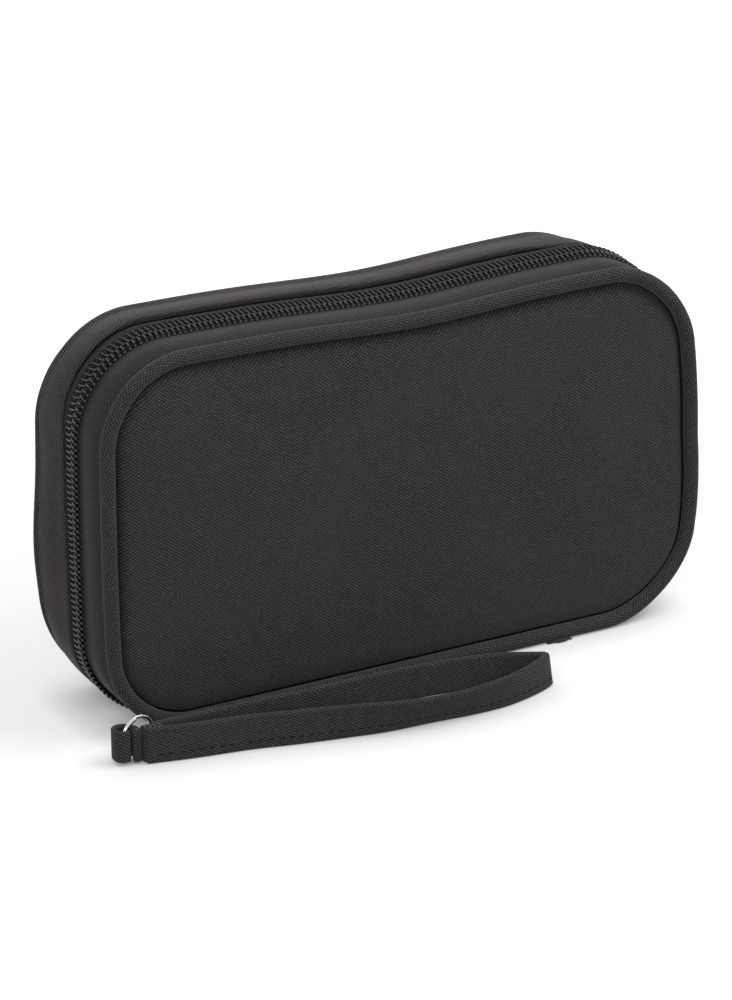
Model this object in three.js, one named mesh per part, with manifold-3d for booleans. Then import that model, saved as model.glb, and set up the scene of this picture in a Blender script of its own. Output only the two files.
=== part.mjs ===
// A zip-around case for a glucose meter, closed and stood on its long hinge edge, with its strap in front.
// X runs along the case, Y from its front to its rear and Z up. The origin is the middle of the front spine,
// on the surface that the case stands on. All sizes are in millimetres.
import * as THREE from "three";
import * as BufferGeometryUtils from "three/addons/utils/BufferGeometryUtils.js";
import Module from "manifold-3d";

const wasm = await Module();
wasm.setup();

// The case as a whole
const caseLength = 178;
const caseHeight = 102;
const frontDepth = 15.6; // zip plane to the middle of the front piping
const backDepth = 19.6; // zip plane to the middle of the rear piping
const cornerRadius = 24;
const rearCornerGrowth = { bottomLeft: 3.5, topLeft: 0.8, topRight: 7, bottomRight: 3.5 }; // rounder by these
const rearFlare = 0.8; // the rear edge is longer and taller by this much on each side
const leftDraw = 1; // the left corners are drawn in past the middle of that side
const rightDraw = 6;
const lowBulge = 1.3; // the right end bulges by this much, halfway down its lower half
const rearBulge = 1.5; // the rear edge of the left end bulges by this much
const rearBulgePlace = 42;
const rearBulgeSpread = 16;
const topSag = 1.9;
const topSagPlace = 3.4;
const topSagSpread = 30;

// Cloth, padding and trim
const seat = 0.3; // clearance between pieces that touch
const clothThick = 0.9;
const liningThick = 0.6;
const tapeThick = 0.8;
const foamThick = 3;
const bindingThick = 1.5; // the binding of the rear seam
const pipingRadius = 2;
const panelEdgeInset = 4.3; // seam line to the edge of a panel
const frontCrown = 2.6;
const backCrown = 1.2;
const panelEdgeFall = 1.1; // the panel's edge lies this far below the level of its flat part
const bindingReach = 6;
const foldRaise = 0.6; // the folded edge of the gusset stands this proud of the seam line
const foldPlace = 5.1; // zip plane to the folded edge
const tapeLevel = 0.6; // the zip tape lies this far inside the seam line
const tapeReach = 8.6; // zip plane to the hidden edge of the rear tape
const tailTapeReach = 4.8;
const tapeGap = 0.9; // zip plane to the near edge of a tape
const sliderTapeGap = 1.6; // the same where the slider's wedge stands between the tapes

// The hinge edge
const hingeGap = 0.4; // zip plane to each half of the spine
const spineEndGap = 17; // end of the spine to the start of the bottom corner
const spineThick = 1;
const tuckLength = 5; // the tape ends run this far in over the spine
const chainRecess = 5; // the chain is pushed up this far over the slider
const splitGap = 2.2; // between the rear tape and the tail that stays with the front half

// The zip chain
const toothPitch = 1.56;
const toothReach = 3.5; // zip plane to the outer end of a tooth
const toothCross = 0.35; // the heads pass the zip plane by this much
const toothValley = 1.2; // zip plane to the bottom of a valley
const toothRidge = 1.5; // zip plane to the highest point of a tooth
const toothHeight = 1.6;
const valleyHeight = 0.5;
const toothSlant = 0.8; // a head lies this far along the chain from its root

// The slider and what hangs on it
const sliderInset = 7.2; // start of the left bottom corner to the middle of the slider
const sliderLength = 11;
const sliderNose = 4.6; // half its width at the wedge
const sliderTail = 4.2;
const sliderWall = 0.6;
const sliderPlate = 1.1;
const sliderPlay = 0.4;
const wedgeLength = 2;
const wedgeHalfWidth = 1.1;
const wedgeInset = 2.6; // nose to the middle of the wedge
const bailBar = 0.6;
const bailWidth = 1.4;
const bailLeg = 1;
const bailSpan = 6;
const bailInset = 1; // tail end of the slider to the leg that carries the tab
const bailFoot = 0.3; // the bail's clearance over the ground
const stopLength = 1.6;
const tabWidth = 4.6;
const tabThick = 0.7;
const tabEye = 1.5; // radius of the hole round the bail's leg
const tabHole = 1.6; // radius of the hole for the ring
const tabMargin = 0.8;
const tabLow = 0.5; // height of the tab's middle where it runs under the piping
const tabHigh = 2.4; // height at the ring
const tabDrop = 8; // length over which it comes down from the bail
const tabLift = 23; // length at which it starts to rise to the ring
const ringOuter = 6.2;
const ringWire = 0.55; // radius of the wire
const ringFoot = 0.2;
const ringInset = 7.7; // left end of the strap to the middle of the ring
const ringSetback = 1.1; // the ring's middle behind the strap's nearest line
const ringTurn = THREE.MathUtils.degToRad(15);

// The wrist strap
const strapLength = 119.6;
const strapBow = 20.6;
const strapThick = 1.8;
const strapLeftHeight = 11.2;
const strapRightHeight = 9.4;
const strapOverhang = 3.5; // the strap reaches this far past the left end of the case
const strapAhead = 10.7; // the front piping's middle to the strap's nearest line
const jointStart = 6.6; // left end of the strap to the sewn joint
const jointLength = 5.6;
const jointDepth = 3.7;
const loopThick = 1.2;
const loopHeight = 10.6;
const loopDepth = 5.6;
const loopNotchLow = 3.2; // the gathered part of the loop lies between these heights
const loopNotchHigh = 9.7;
const notchInset = 2.6; // middle of the ring to the middle of the gathered part
const notchLength = 3.6;
const notchDepth = 4.4;
const overrun = 2; // by which a cutter passes what it cuts

// What the case holds inside
const netTop = 56;
const netStand = 2.6; // the net lies this far off the lining
const netThick = 0.6;
const netColumns = 15;
const netRows = 5;
const netBar = 1.5;
const hemHeight = 7;
const hemThick = 1.2;
const meterBandWidth = 34;
const meterBandRise = 9;
const vialBandWidth = 22;
const vialBandSpan = 28;
const vialBandRise = 11;
const penBandWidth = 16;
const penBandSpan = 22;
const penBandRise = 10;
const bandThick = 1;
const bandFoot = 4; // sewn flat at each end of an elastic band
const bandSpacing = 3;
const bandRowLeft = 13; // left end of the case to the row of elastic bands
const bandRowRight = 23;
const loopHeightPlace = 51; // height of the middle of the elastic loops

// Counts and shares
const cornerSteps = 10;
const sideSteps = 4;
const topSteps = 12;
const pipingSides = 8;
const ringSteps = 24;
const ringSides = 6;
const archSteps = 10;
const archFullness = 0.6;
const tailAngle = THREE.MathUtils.degToRad(33); // where the tail meets the rear tape, from straight down
const recessFullAngle = THREE.MathUtils.degToRad(12);
const recessStartAngle = THREE.MathUtils.degToRad(30);
const panelRingShares = [1, 0.95, 0.86, 0.62];
const panelFallShares = [1, 0.3, 0, 0];
const panelCrownShares = [0, 0.1, 0.3, 0.75];

// The strap's line from the sewn joint along the front leg, round the fold and back along the rear leg.
// Each point is a share of the strap's length and of its bow.
const strapLineShares = [
  [0.08, 0.21], [0.16, 0.33], [0.287, 0.47], [0.38, 0.62], [0.477, 0.75], [0.575, 0.865],
  [0.684, 0.91], [0.792, 0.966], [0.869, 0.95], [0.945, 0.85], [0.985, 0.755], [0.992, 0.72],
  [0.984, 0.685], [0.9, 0.41], [0.783, 0.233], [0.658, 0.146], [0.481, 0.13], [0.373, 0.1],
  [0.188, 0.08], [0.08, 0.07],
];
// The short loop's line from the joint round its left end and back, as shares of the joint's distance from
// the strap's left end and of the loop's depth.
const loopLineShares = [
  [0.91, 0.12], [0.86, -0.07], [0.74, -0.27], [0.55, -0.45], [0.3, -0.5], [0.08, -0.34], [0.05, -0.05],
  [0.24, 0.25], [0.6, 0.5], [0.97, 0.56],
];

// Materials
const cloth = new THREE.MeshStandardMaterial({ color: 0x373536, roughness: 0.9 });
const tapeCloth = new THREE.MeshStandardMaterial({ color: 0x2e312f, roughness: 0.85 });
const nylon = new THREE.MeshStandardMaterial({ color: 0x101112, roughness: 0.3 });
const lining = new THREE.MeshStandardMaterial({ color: 0x2a2a2c, roughness: 0.8 });
const foam = new THREE.MeshStandardMaterial({ color: 0x4a4a4a, roughness: 1 });
const elastic = new THREE.MeshStandardMaterial({ color: 0x1c1c1e, roughness: 0.8 });
const metal = new THREE.MeshStandardMaterial({ color: 0xc8c3ba, roughness: 0.25, metalness: 1 });

const caseGroup = new THREE.Group();
const spineFrontEdge = -frontDepth + pipingRadius + seat;
const spineRearEdge = -hingeGap;
caseGroup.position.y = -(spineFrontEdge + spineRearEdge) / 2;

function addPiece(name, geometry, material) {
  const mesh = new THREE.Mesh(geometry, material);
  mesh.name = name;
  caseGroup.add(mesh);
}

// Turns a list of corner points and a list of triangles into a geometry whose faces point out.
function closedGeometry(points, faces) {
  let volume = 0;
  for (const [a, b, c] of faces) {
    volume += points[a].dot(points[b].clone().cross(points[c]));
  }
  const ordered = volume < 0 ? faces.map(([a, b, c]) => [a, c, b]) : faces;
  const geometry = new THREE.BufferGeometry();
  geometry.setAttribute("position", new THREE.Float32BufferAttribute(points.flatMap((p) => p.toArray()), 3));
  geometry.setIndex(ordered.flat());
  return geometry;
}

function solidFrom(geometry) {
  const bare = geometry.clone();
  bare.deleteAttribute("normal");
  bare.deleteAttribute("uv");
  const merged = BufferGeometryUtils.mergeVertices(bare);
  const mesh = new wasm.Mesh({
    numProp: 3,
    vertProperties: new Float32Array(merged.attributes.position.array),
    triVerts: new Uint32Array(merged.index.array),
  });
  return new wasm.Manifold(mesh);
}

function geometryFrom(solid) {
  const mesh = solid.getMesh();
  const geometry = new THREE.BufferGeometry();
  geometry.setAttribute("position", new THREE.BufferAttribute(new Float32Array(mesh.vertProperties), 3));
  geometry.setIndex(new THREE.BufferAttribute(new Uint32Array(mesh.triVerts), 1));
  return geometry;
}

function box(xSize, ySize, zSize, x, y, z) {
  return new THREE.BoxGeometry(xSize, ySize, zSize).translate(x, y, z);
}

// A ring of closed sections joined one to the next. Open runs of sections get flat ends.
function loft(sections, closed) {
  const count = sections[0].length;
  const points = sections.flat();
  const faces = [];
  const last = closed ? sections.length : sections.length - 1;
  for (let i = 0; i < last; i += 1) {
    const here = i * count;
    const there = ((i + 1) % sections.length) * count;
    for (let j = 0; j < count; j += 1) {
      const next = (j + 1) % count;
      faces.push([here + j, there + j, there + next], [here + j, there + next, here + next]);
    }
  }
  if (!closed) {
    addEnd(sections[0], 0, faces, false);
    addEnd(sections[sections.length - 1], (sections.length - 1) * count, faces, true);
  }
  return closedGeometry(points, faces);
}

// Fills the flat end of a run of sections, with its triangles wound as the section is, or turned over.
function addEnd(section, start, faces, turned) {
  const u = section[1].clone().sub(section[0]).normalize();
  const normal = new THREE.Vector3();
  section.forEach((point, i) => normal.add(point.clone().cross(section[(i + 1) % section.length])));
  const v = normal.normalize().clone().cross(u);
  const flat = section.map((p) => new THREE.Vector2(p.dot(u), p.dot(v)));
  const wound = Math.sign(THREE.ShapeUtils.area(flat));
  for (const [a, b, c] of THREE.ShapeUtils.triangulateShape(flat.slice(), [])) {
    const same = Math.sign(THREE.ShapeUtils.area([flat[a], flat[b], flat[c]])) === wound;
    const triangle = same === turned ? [a, c, b] : [a, b, c];
    faces.push(triangle.map((index) => start + index));
  }
}

// The seam line is a rounded rectangle. Its stations run from the middle of the bottom round by the left.
const flatHalf = caseLength / 2 - cornerRadius;
const spineHalfLength = flatHalf - spineEndGap;
const sliderPlace = -flatHalf + sliderInset;
const strapLeftEnd = -caseLength / 2 - strapOverhang;
const splitShare = 1 - tailAngle / (Math.PI / 2);
const splitGapShare = splitGap / (cornerRadius * Math.PI / 2);
const bottomShares = [
  0,
  (spineHalfLength - tuckLength) / flatHalf,
  spineHalfLength / flatHalf,
  (1 + spineHalfLength / flatHalf) / 2,
];

function evenShares(steps) {
  return Array.from({ length: steps + 1 }, (_, i) => i / steps);
}

// Shares of the turn of a bottom corner, from the bottom up, with the split between tail and rear tape.
function bottomCornerShares() {
  const low = 1 - splitShare;
  const high = low + splitGapShare;
  const below = evenShares(cornerSteps).filter((share) => share < low - splitGapShare / 2);
  const above = evenShares(cornerSteps).filter((share) => share > high + splitGapShare / 2);
  return [...below, low, high, ...above];
}

function makeStations() {
  const list = [];
  const inner = (steps) => evenShares(steps).slice(1, -1);
  bottomShares.forEach((share) => list.push({ edge: "bottomLeft", share }));
  bottomCornerShares().forEach((share) => list.push({ corner: "bottomLeft", share }));
  inner(sideSteps).forEach((share) => list.push({ edge: "left", share }));
  evenShares(cornerSteps).forEach((share) => list.push({ corner: "topLeft", share }));
  inner(topSteps).forEach((share) => list.push({ edge: "top", share }));
  evenShares(cornerSteps).forEach((share) => list.push({ corner: "topRight", share }));
  inner(sideSteps).forEach((share) => list.push({ edge: "right", share }));
  bottomCornerShares().reverse().forEach((share) => list.push({ corner: "bottomRight", share }));
  bottomShares.slice(1).reverse().forEach((share) => list.push({ edge: "bottomRight", share }));
  return list;
}
const stations = makeStations();

// The place of a station on the plain rounded rectangle. Rear is 0 at the zip and 1 at the rear piping.
function stationPlace({ edge, corner, share }, rear) {
  const { lerp } = THREE.MathUtils;
  const half = caseLength / 2;
  const radiusAt = (name) => cornerRadius + rearCornerGrowth[name] * rear;
  const radius = corner ? radiusAt(corner) : 0;
  const x = half - radius;
  const top = caseHeight - radius;
  const turn = share * Math.PI / 2;
  const sine = radius * Math.sin(turn);
  const cosine = radius * Math.cos(turn);
  if (corner === "bottomLeft") return [-x - sine, radius - cosine];
  if (corner === "topLeft") return [-x - cosine, top + sine];
  if (corner === "topRight") return [x + sine, top + cosine];
  if (corner === "bottomRight") return [x + sine, radius - cosine];
  const reach = (name) => half - radiusAt(name);
  const rise = (name) => caseHeight - radiusAt(name);
  if (edge === "left") return [-half, lerp(radiusAt("bottomLeft"), rise("topLeft"), share)];
  if (edge === "top") return [lerp(-reach("topLeft"), reach("topRight"), share), caseHeight];
  if (edge === "right") return [half, lerp(rise("topRight"), radiusAt("bottomRight"), share)];
  if (edge === "bottomLeft") return [-reach("bottomLeft") * share, 0];
  return [reach("bottomRight") * share, 0];
}

// The sewn case isn't a true rectangle: its ends are drawn in towards the corners and bulge low down, the
// left one at its rear edge alone, and its top sags.
function drawIn([x, z], rear) {
  const half = caseLength / 2;
  const away = (z - caseHeight / 2) / (caseHeight / 2);
  const rightBulge = lowBulge * Math.sin(Math.PI * THREE.MathUtils.clamp(-away, 0, 1));
  const leftBulge = rearBulge * rear * Math.exp(-(((z - rearBulgePlace) / rearBulgeSpread) ** 2));
  const draw = x > 0 ? rightDraw * away * away - rightBulge : leftDraw * away * away - leftBulge;
  const upper = THREE.MathUtils.clamp((z / caseHeight - 0.5) * 2, 0, 1);
  const sag = topSag * Math.exp(-(((x - topSagPlace) / topSagSpread) ** 2)) * upper;
  const flare = rear * rearFlare;
  return [x * (1 - draw / half) * (1 + flare / half), (z - sag) * (1 + flare / caseHeight)];
}

const seamRings = new Map();
function seamRing(rear) {
  if (seamRings.has(rear)) return seamRings.get(rear);
  const places = stations.map((station) => drawIn(stationPlace(station, rear), rear));
  const ring = places.map(([x, z], i) => {
    const [ax, az] = places[(i + places.length - 1) % places.length];
    const [bx, bz] = places[(i + 1) % places.length];
    const length = Math.hypot(bx - ax, bz - az);
    return { x, z, outX: -(bz - az) / length, outZ: (bx - ax) / length };
  });
  seamRings.set(rear, ring);
  return ring;
}

function isOnBottom({ edge }) {
  return edge === "bottomLeft" || edge === "bottomRight";
}

// How far the chain is recessed at each station, from 0 to 1: only along the bottom and round its corners.
const recessShares = stations.map((station) => {
  const { corner, share } = station;
  if (isOnBottom(station)) return 1;
  if (corner !== "bottomLeft" && corner !== "bottomRight") return 0;
  const fromDown = share * Math.PI / 2;
  return THREE.MathUtils.smoothstep(recessStartAngle - fromDown, 0, recessStartAngle - recessFullAngle);
});
// How far the folded edge stands proud at each station, from 0 along the bottom to 1 where the rear tape
// starts.
const raisedShares = stations.map((station) => {
  const { corner, share } = station;
  if (isOnBottom(station)) return 0;
  if (corner !== "bottomLeft" && corner !== "bottomRight") return 1;
  return Math.min(share / (1 - splitShare), 1);
});

// A point of the case: its station, its distance behind the zip plane and its distance outside the seam line.
function casePoint(i, y, outside) {
  const rear = THREE.MathUtils.clamp((y - foldPlace) / (backDepth - foldPlace), 0, 1);
  const { x, z, outX, outZ } = seamRing(rear)[i];
  return new THREE.Vector3(x + outX * outside, y, z + outZ * outside);
}

// Sweeps a section along stations. The section is a function of the station that gives [y, outside] pairs.
function sweepSeam(indices, section, closed) {
  return loft(indices.map((i) => section(i).map(([y, outside]) => casePoint(i, y, outside))), closed);
}

const allStations = stations.map((_, i) => i);
const splitIndex = bottomShares.length + bottomCornerShares().indexOf(1 - splitShare);
const mirrored = (i) => stations.length - i;
const chainStart = 1; // the station at which the tape ends, tucked in over the spine
const chainStations = allStations.slice(chainStart, mirrored(chainStart) + 1);
const rearStations = allStations.slice(splitIndex + 1, mirrored(splitIndex + 1) + 1);
const leftTailStations = allStations.slice(chainStart, splitIndex + 1);
const rightTailStations = allStations.slice(mirrored(splitIndex), mirrored(chainStart) + 1);
const spineStations = [-2, -1, 0, 1, 2].map((i) => (i + stations.length) % stations.length);

const panelRings = panelRingShares.map((_, i) => i);
const flatRings = [0];

// A panel: rings that shrink towards the middle, each with its own level. The outer skin is crowned. The
// inner skin follows it a thickness away, or is flat on a board.
function panel(y, out, inset, crown, fall, thick, rear, flatInside) {
  const ring = seamRing(rear);
  const centre = new THREE.Vector3(0, 0, caseHeight / 2);
  const count = ring.length;
  const points = [];
  const faces = [];
  const skins = [false, true].map((inside) => {
    const start = points.length;
    const isFlat = flatInside && inside;
    const depth = inside ? thick : 0;
    const rings = isFlat || crown === 0 ? flatRings : panelRings;
    rings.forEach((ringIndex) => {
      const share = panelRingShares[ringIndex];
      const bulge = crown * panelCrownShares[ringIndex] - fall * panelFallShares[ringIndex];
      const level = isFlat ? 0 : bulge;
      ring.forEach(({ x, z, outX, outZ }) => {
        const edge = new THREE.Vector3(x - outX * inset, 0, z - outZ * inset);
        const place = centre.clone().lerp(edge, share);
        points.push(new THREE.Vector3(place.x, y + out * (level - depth), place.z));
      });
    });
    points.push(new THREE.Vector3(centre.x, y + out * ((isFlat ? 0 : crown) - depth), centre.z));
    return { start, middle: points.length - 1, rings };
  });
  skins.forEach(({ start, middle, rings }, skin) => {
    for (let r = 0; r < rings.length; r += 1) {
      for (let j = 0; j < count; j += 1) {
        const a = start + r * count + j;
        const b = start + r * count + (j + 1) % count;
        const inner = r + 1 < rings.length;
        const list = inner ? [[a, b, b + count], [a, b + count, a + count]] : [[a, b, middle]];
        list.forEach(([p, q, s]) => faces.push(skin === 0 ? [p, q, s] : [p, s, q]));
      }
    }
  });
  for (let j = 0; j < count; j += 1) {
    const a = skins[0].start + j;
    const b = skins[0].start + (j + 1) % count;
    const c = skins[1].start + j;
    const d = skins[1].start + (j + 1) % count;
    faces.push([a, d, b], [a, c, d]);
  }
  return closedGeometry(points, faces);
}

// The eight flats of the piping cord. One of them faces straight out, so that the case stands on a flat.
function pipingSection(y) {
  const reach = pipingRadius / Math.cos(Math.PI / pipingSides);
  const turns = Array.from({ length: pipingSides }, (_, k) => (k + 0.5) * 2 * Math.PI / pipingSides);
  return () => turns.map((turn) => [y + reach * Math.cos(turn), -pipingRadius + reach * Math.sin(turn)]);
}

function strip(nearY, farY, outside, thick) {
  return () => [[nearY, outside], [farY, outside], [farY, outside - thick], [nearY, outside - thick]];
}

// The front half: panel, padding, lining, piping and the binding over the seam inside
const frontPanelLevel = -frontDepth - seat;
const frontFoamLevel = frontPanelLevel + clothThick + seat;
const frontLiningLevel = frontFoamLevel + foamThick + seat;
addPiece("front_cover", panel(frontPanelLevel, -1, panelEdgeInset, frontCrown, panelEdgeFall,
  clothThick, 0, false), cloth);
addPiece("front_foam", panel(frontFoamLevel, -1, panelEdgeInset + seat, frontCrown, panelEdgeFall,
  foamThick, 0, true), foam);
addPiece("front_lining", panel(frontLiningLevel, -1, panelEdgeInset, 0, 0, liningThick, 0, true), lining);
addPiece("front_piping", sweepSeam(allStations, pipingSection(-frontDepth), true), cloth);
// The front binding fills the corner between the piping, the tape and the edges of the padding.
const bindingLevel = -tapeLevel - tapeThick - seat;
const frontBindingThick = panelEdgeInset - seat + bindingLevel;
addPiece("front_binding", sweepSeam(allStations.filter((i) => recessShares[i] === 0),
  strip(spineFrontEdge, spineFrontEdge + bindingReach, bindingLevel, frontBindingThick), false), elastic);

// The front zip tape runs from the piping to the chain, which is recessed under the bottom corners.
function nearChainGap(i) {
  const onSlider = recessShares[i] === 1;
  return onSlider ? sliderTapeGap : tapeGap;
}
const tapeLevelStart = -sliderNose - sliderPlay; // from here to the chain the tape is level
function frontTapeSection(i) {
  const sunk = -tapeLevel - chainRecess * recessShares[i];
  const level = tapeLevelStart;
  const edge = -nearChainGap(i);
  return [
    [spineFrontEdge, -tapeLevel], [level, sunk], [edge, sunk],
    [edge, sunk - tapeThick], [level, sunk - tapeThick], [spineFrontEdge, -tapeLevel - tapeThick],
  ];
}
addPiece("front_zip_tape", sweepSeam(chainStations.slice(1, -1), frontTapeSection, false), tapeCloth);

// The spine is the strip of cloth along the bottom at which the case folds open.
addPiece("front_spine", sweepSeam(spineStations, strip(spineFrontEdge, spineRearEdge, 0, spineThick), false),
  cloth);

// A rear tape section, also used for the tails.
function rearTapeSection(reach) {
  return (i) => strip(nearChainGap(i), reach, -tapeLevel - chainRecess * recessShares[i], tapeThick)();
}
function rearTape(name, indices, reach) {
  addPiece(name, sweepSeam(indices, rearTapeSection(reach), false), tapeCloth);
}
rearTape("back_zip_tape", rearStations, tapeReach);
rearTape("zip_tail_tape_left", leftTailStations, tailTapeReach);
rearTape("zip_tail_tape_right", rightTailStations, tailTapeReach);

// The chain line: the corners of the tape's outer face along the zip plane.
const chainLine = chainStations.map((i) => {
  const level = -tapeLevel - chainRecess * recessShares[i];
  return casePoint(i, 0, level);
});
const chainLengths = [0];
for (let i = 1; i < chainLine.length; i += 1) {
  chainLengths.push(chainLengths[i - 1] + chainLine[i].distanceTo(chainLine[i - 1]));
}
function chainDistance(stationIndex) {
  return chainLengths[chainStations.indexOf(stationIndex)];
}

// A place on the chain, with the directions along it and out of it.
function chainFrame(distance) {
  let i = 1;
  while (i < chainLengths.length - 1 && chainLengths[i] < distance) i += 1;
  const along = chainLine[i].clone().sub(chainLine[i - 1]).normalize();
  const place = chainLine[i - 1].clone().addScaledVector(along, distance - chainLengths[i - 1]);
  return { place, along, out: new THREE.Vector3(-along.z, 0, along.x) };
}

// One side of the chain is a comb. Its teeth slant back from their heads to the sewn root, and their heads
// reach past the middle into the valleys of the other comb. Every second half pitch is a head, the rest are
// valleys. Side is -1 on the front tape and 1 on the rear tape.
function combSection(halfPitches, side) {
  const { place, along, out } = chainFrame(halfPitches * toothPitch / 2);
  const isHead = (halfPitches + (side > 0 ? 1 : 0)) % 2 === 0;
  const at = (y, height) => place.clone().setY(side * y).addScaledVector(out, seat + height)
    .addScaledVector(along, toothSlant * Math.abs(y) / toothReach);
  return [
    at(toothReach, 0),
    at(isHead ? toothRidge : toothReach - toothRidge / 2, isHead ? toothHeight : valleyHeight),
    at(isHead ? -toothCross : toothValley, 0),
  ];
}
function comb(side, from, to) {
  const first = Math.ceil(from / (toothPitch / 2));
  const last = Math.floor((to - toothSlant) / (toothPitch / 2));
  return loft(Array.from({ length: last - first + 1 }, (_, k) => combSection(first + k, side)), false);
}
const chainLow = chainDistance(splitIndex);
const chainHigh = chainDistance(mirrored(splitIndex));
const teethStart = sliderPlace - sliderLength / 2 - chainFrame(0).place.x;
const combStart = Math.abs(teethStart);
const combEnd = chainLengths.at(-1) - combStart;
const rearCombStart = chainDistance(splitIndex + 1);
const rearCombEnd = chainDistance(mirrored(splitIndex + 1));
addPiece("front_zip_teeth", comb(-1, combStart, combEnd), nylon);
addPiece("back_zip_teeth", comb(1, rearCombStart, rearCombEnd), nylon);
addPiece("zip_tail_teeth_left", comb(1, combStart, chainLow), nylon);
addPiece("zip_tail_teeth_right", comb(1, chainHigh, combEnd), nylon);

// The back half: gusset, piping, panel, padding and linings
function gussetSection(i) {
  const spineShare = spineHalfLength / flatHalf + Number.EPSILON;
  const hinged = isOnBottom(stations[i]) && stations[i].share <= spineShare;
  const raised = raisedShares[i];
  const start = hinged ? hingeGap : foldPlace;
  const under = -seat * raised - clothThick * (1 - raised);
  const pastTape = tapeReach + seat;
  const end = backDepth - pipingRadius - seat;
  return [
    [start, foldRaise * raised], [pastTape, foldRaise * raised], [end, 0], [end, -clothThick],
    [pastTape + clothThick, -clothThick], [pastTape, under], [start, under],
  ];
}
addPiece("back_gusset", sweepSeam(allStations, gussetSection, true), cloth);
addPiece("back_piping", sweepSeam(allStations, pipingSection(backDepth), true), cloth);
const backPanelLevel = backDepth + seat;
const backFoamLevel = backPanelLevel - clothThick - seat;
const backLiningLevel = backFoamLevel - foamThick - seat;
addPiece("back_cover", panel(backPanelLevel, 1, panelEdgeInset, backCrown, panelEdgeFall,
  clothThick, 1, false), cloth);
addPiece("back_foam", panel(backFoamLevel, 1, panelEdgeInset + seat, backCrown, panelEdgeFall,
  foamThick, 1, true), foam);
addPiece("back_lining", panel(backLiningLevel, 1, panelEdgeInset, 0, 0, liningThick, 1, true), lining);
const backBindingStart = backLiningLevel - liningThick - seat;
const liningLevel = -tapeLevel - tapeThick - seat;
const backBindingLevel = liningLevel - liningThick - seat;
addPiece("gusset_lining", sweepSeam(allStations, strip(foldPlace, backBindingStart, liningLevel, liningThick),
  true), lining);
addPiece("back_binding", sweepSeam(allStations,
  strip(backBindingStart - bindingReach, backBindingStart, backBindingLevel, bindingThick), true), elastic);

// The slider wraps the chain under the lower left corner: two plates, side walls, a wedge and a bail.
const chainLevel = tapeLevel + chainRecess; // height of the tape's outer face over the slider
const crownLevel = chainLevel - seat - toothHeight;
const plateTop = crownLevel - sliderPlay;
const plateBottom = plateTop - sliderPlate;
const capBottom = chainLevel + tapeThick + sliderPlay;
function sliderPlateShape() {
  const half = sliderLength / 2;
  const shape = new THREE.Shape();
  shape.moveTo(-half + sliderPlate, -sliderTail);
  shape.lineTo(half - sliderPlate, -sliderNose);
  shape.quadraticCurveTo(half, -sliderNose, half, -sliderNose + sliderPlate);
  shape.lineTo(half, sliderNose - sliderPlate);
  shape.quadraticCurveTo(half, sliderNose, half - sliderPlate, sliderNose);
  shape.lineTo(-half + sliderPlate, sliderTail);
  shape.quadraticCurveTo(-half, sliderTail, -half, sliderTail - sliderPlate);
  shape.lineTo(-half, -sliderTail + sliderPlate);
  shape.quadraticCurveTo(-half, -sliderTail, -half + sliderPlate, -sliderTail);
  return shape;
}
function sliderLayer(bottom, height) {
  const options = { depth: height, bevelEnabled: false, curveSegments: 3 };
  return new THREE.ExtrudeGeometry(sliderPlateShape(), options).translate(sliderPlace, 0, bottom);
}
const sliderTop = capBottom + sliderPlate;
const wallTop = chainLevel - seat;
const throatHeight = wallTop - plateTop;
const sliderEnd = sliderPlace + sliderLength / 2;
const sliderStart = sliderPlace - sliderLength / 2;
const wedgePlace = sliderEnd - wedgeInset;
const bailBottom = bailFoot;
const bailStart = sliderStart + bailInset;
let sliderSolid = solidFrom(sliderLayer(plateBottom, wallTop - plateBottom));
const throatWidth = (sliderTail - sliderWall) * 2;
sliderSolid = sliderSolid.subtract(solidFrom(box(sliderLength + overrun, throatWidth, throatHeight + overrun,
  sliderPlace, 0, plateTop + (throatHeight + overrun) / 2)));
sliderSolid = sliderSolid.add(solidFrom(sliderLayer(capBottom, sliderPlate)));
sliderSolid = sliderSolid.add(solidFrom(box(wedgeLength, wedgeHalfWidth * 2, sliderTop - plateBottom,
  wedgePlace, 0, (sliderTop + plateBottom) / 2)));
const bailHeight = plateTop - bailBottom;
const bailMiddle = bailStart + bailSpan / 2;
sliderSolid = sliderSolid.add(solidFrom(box(bailSpan + bailLeg, bailWidth, bailHeight, bailMiddle, 0,
  bailBottom + bailHeight / 2)));
sliderSolid = sliderSolid.subtract(solidFrom(box(bailSpan - bailLeg, bailWidth + overrun,
  plateBottom - bailBottom - bailBar, bailMiddle, 0, (plateBottom + bailBottom + bailBar) / 2)));
addPiece("slider", geometryFrom(sliderSolid), metal);

// The stop sits on the front tape, just past the nose of the slider.
addPiece("zip_end_stop", box(stopLength, toothReach - sliderTapeGap, toothHeight,
  sliderEnd + sliderPlay + stopLength / 2, -(toothReach + sliderTapeGap) / 2,
  chainLevel - seat - toothHeight / 2), metal);

// The pull tab runs from the bail under the front piping to the ring.
const pipingPlane = -frontDepth;
const ringPlace = new THREE.Vector3(strapLeftEnd + ringInset, pipingPlane - strapAhead + ringSetback,
  ringFoot + ringOuter);
const ringMiddle = ringOuter - ringWire;
const tabRingReach = Math.sqrt(ringMiddle ** 2 - (ringPlace.z - tabHigh) ** 2);
const ringAlong = new THREE.Vector3(Math.cos(ringTurn), Math.sin(ringTurn), 0);
const tabEnd = ringPlace.clone().addScaledVector(ringAlong, tabRingReach).setZ(tabHigh);
const tabStart = new THREE.Vector3(bailStart, 0, (plateBottom + bailBottom + bailBar) / 2);
const tabRun = Math.hypot(tabEnd.x - tabStart.x, tabEnd.y - tabStart.y);
const tabTurn = Math.atan2(tabEnd.y - tabStart.y, tabEnd.x - tabStart.x);
const tabEyeReach = tabEye + tabMargin;
const tabHoleReach = tabHole + tabMargin;
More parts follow.
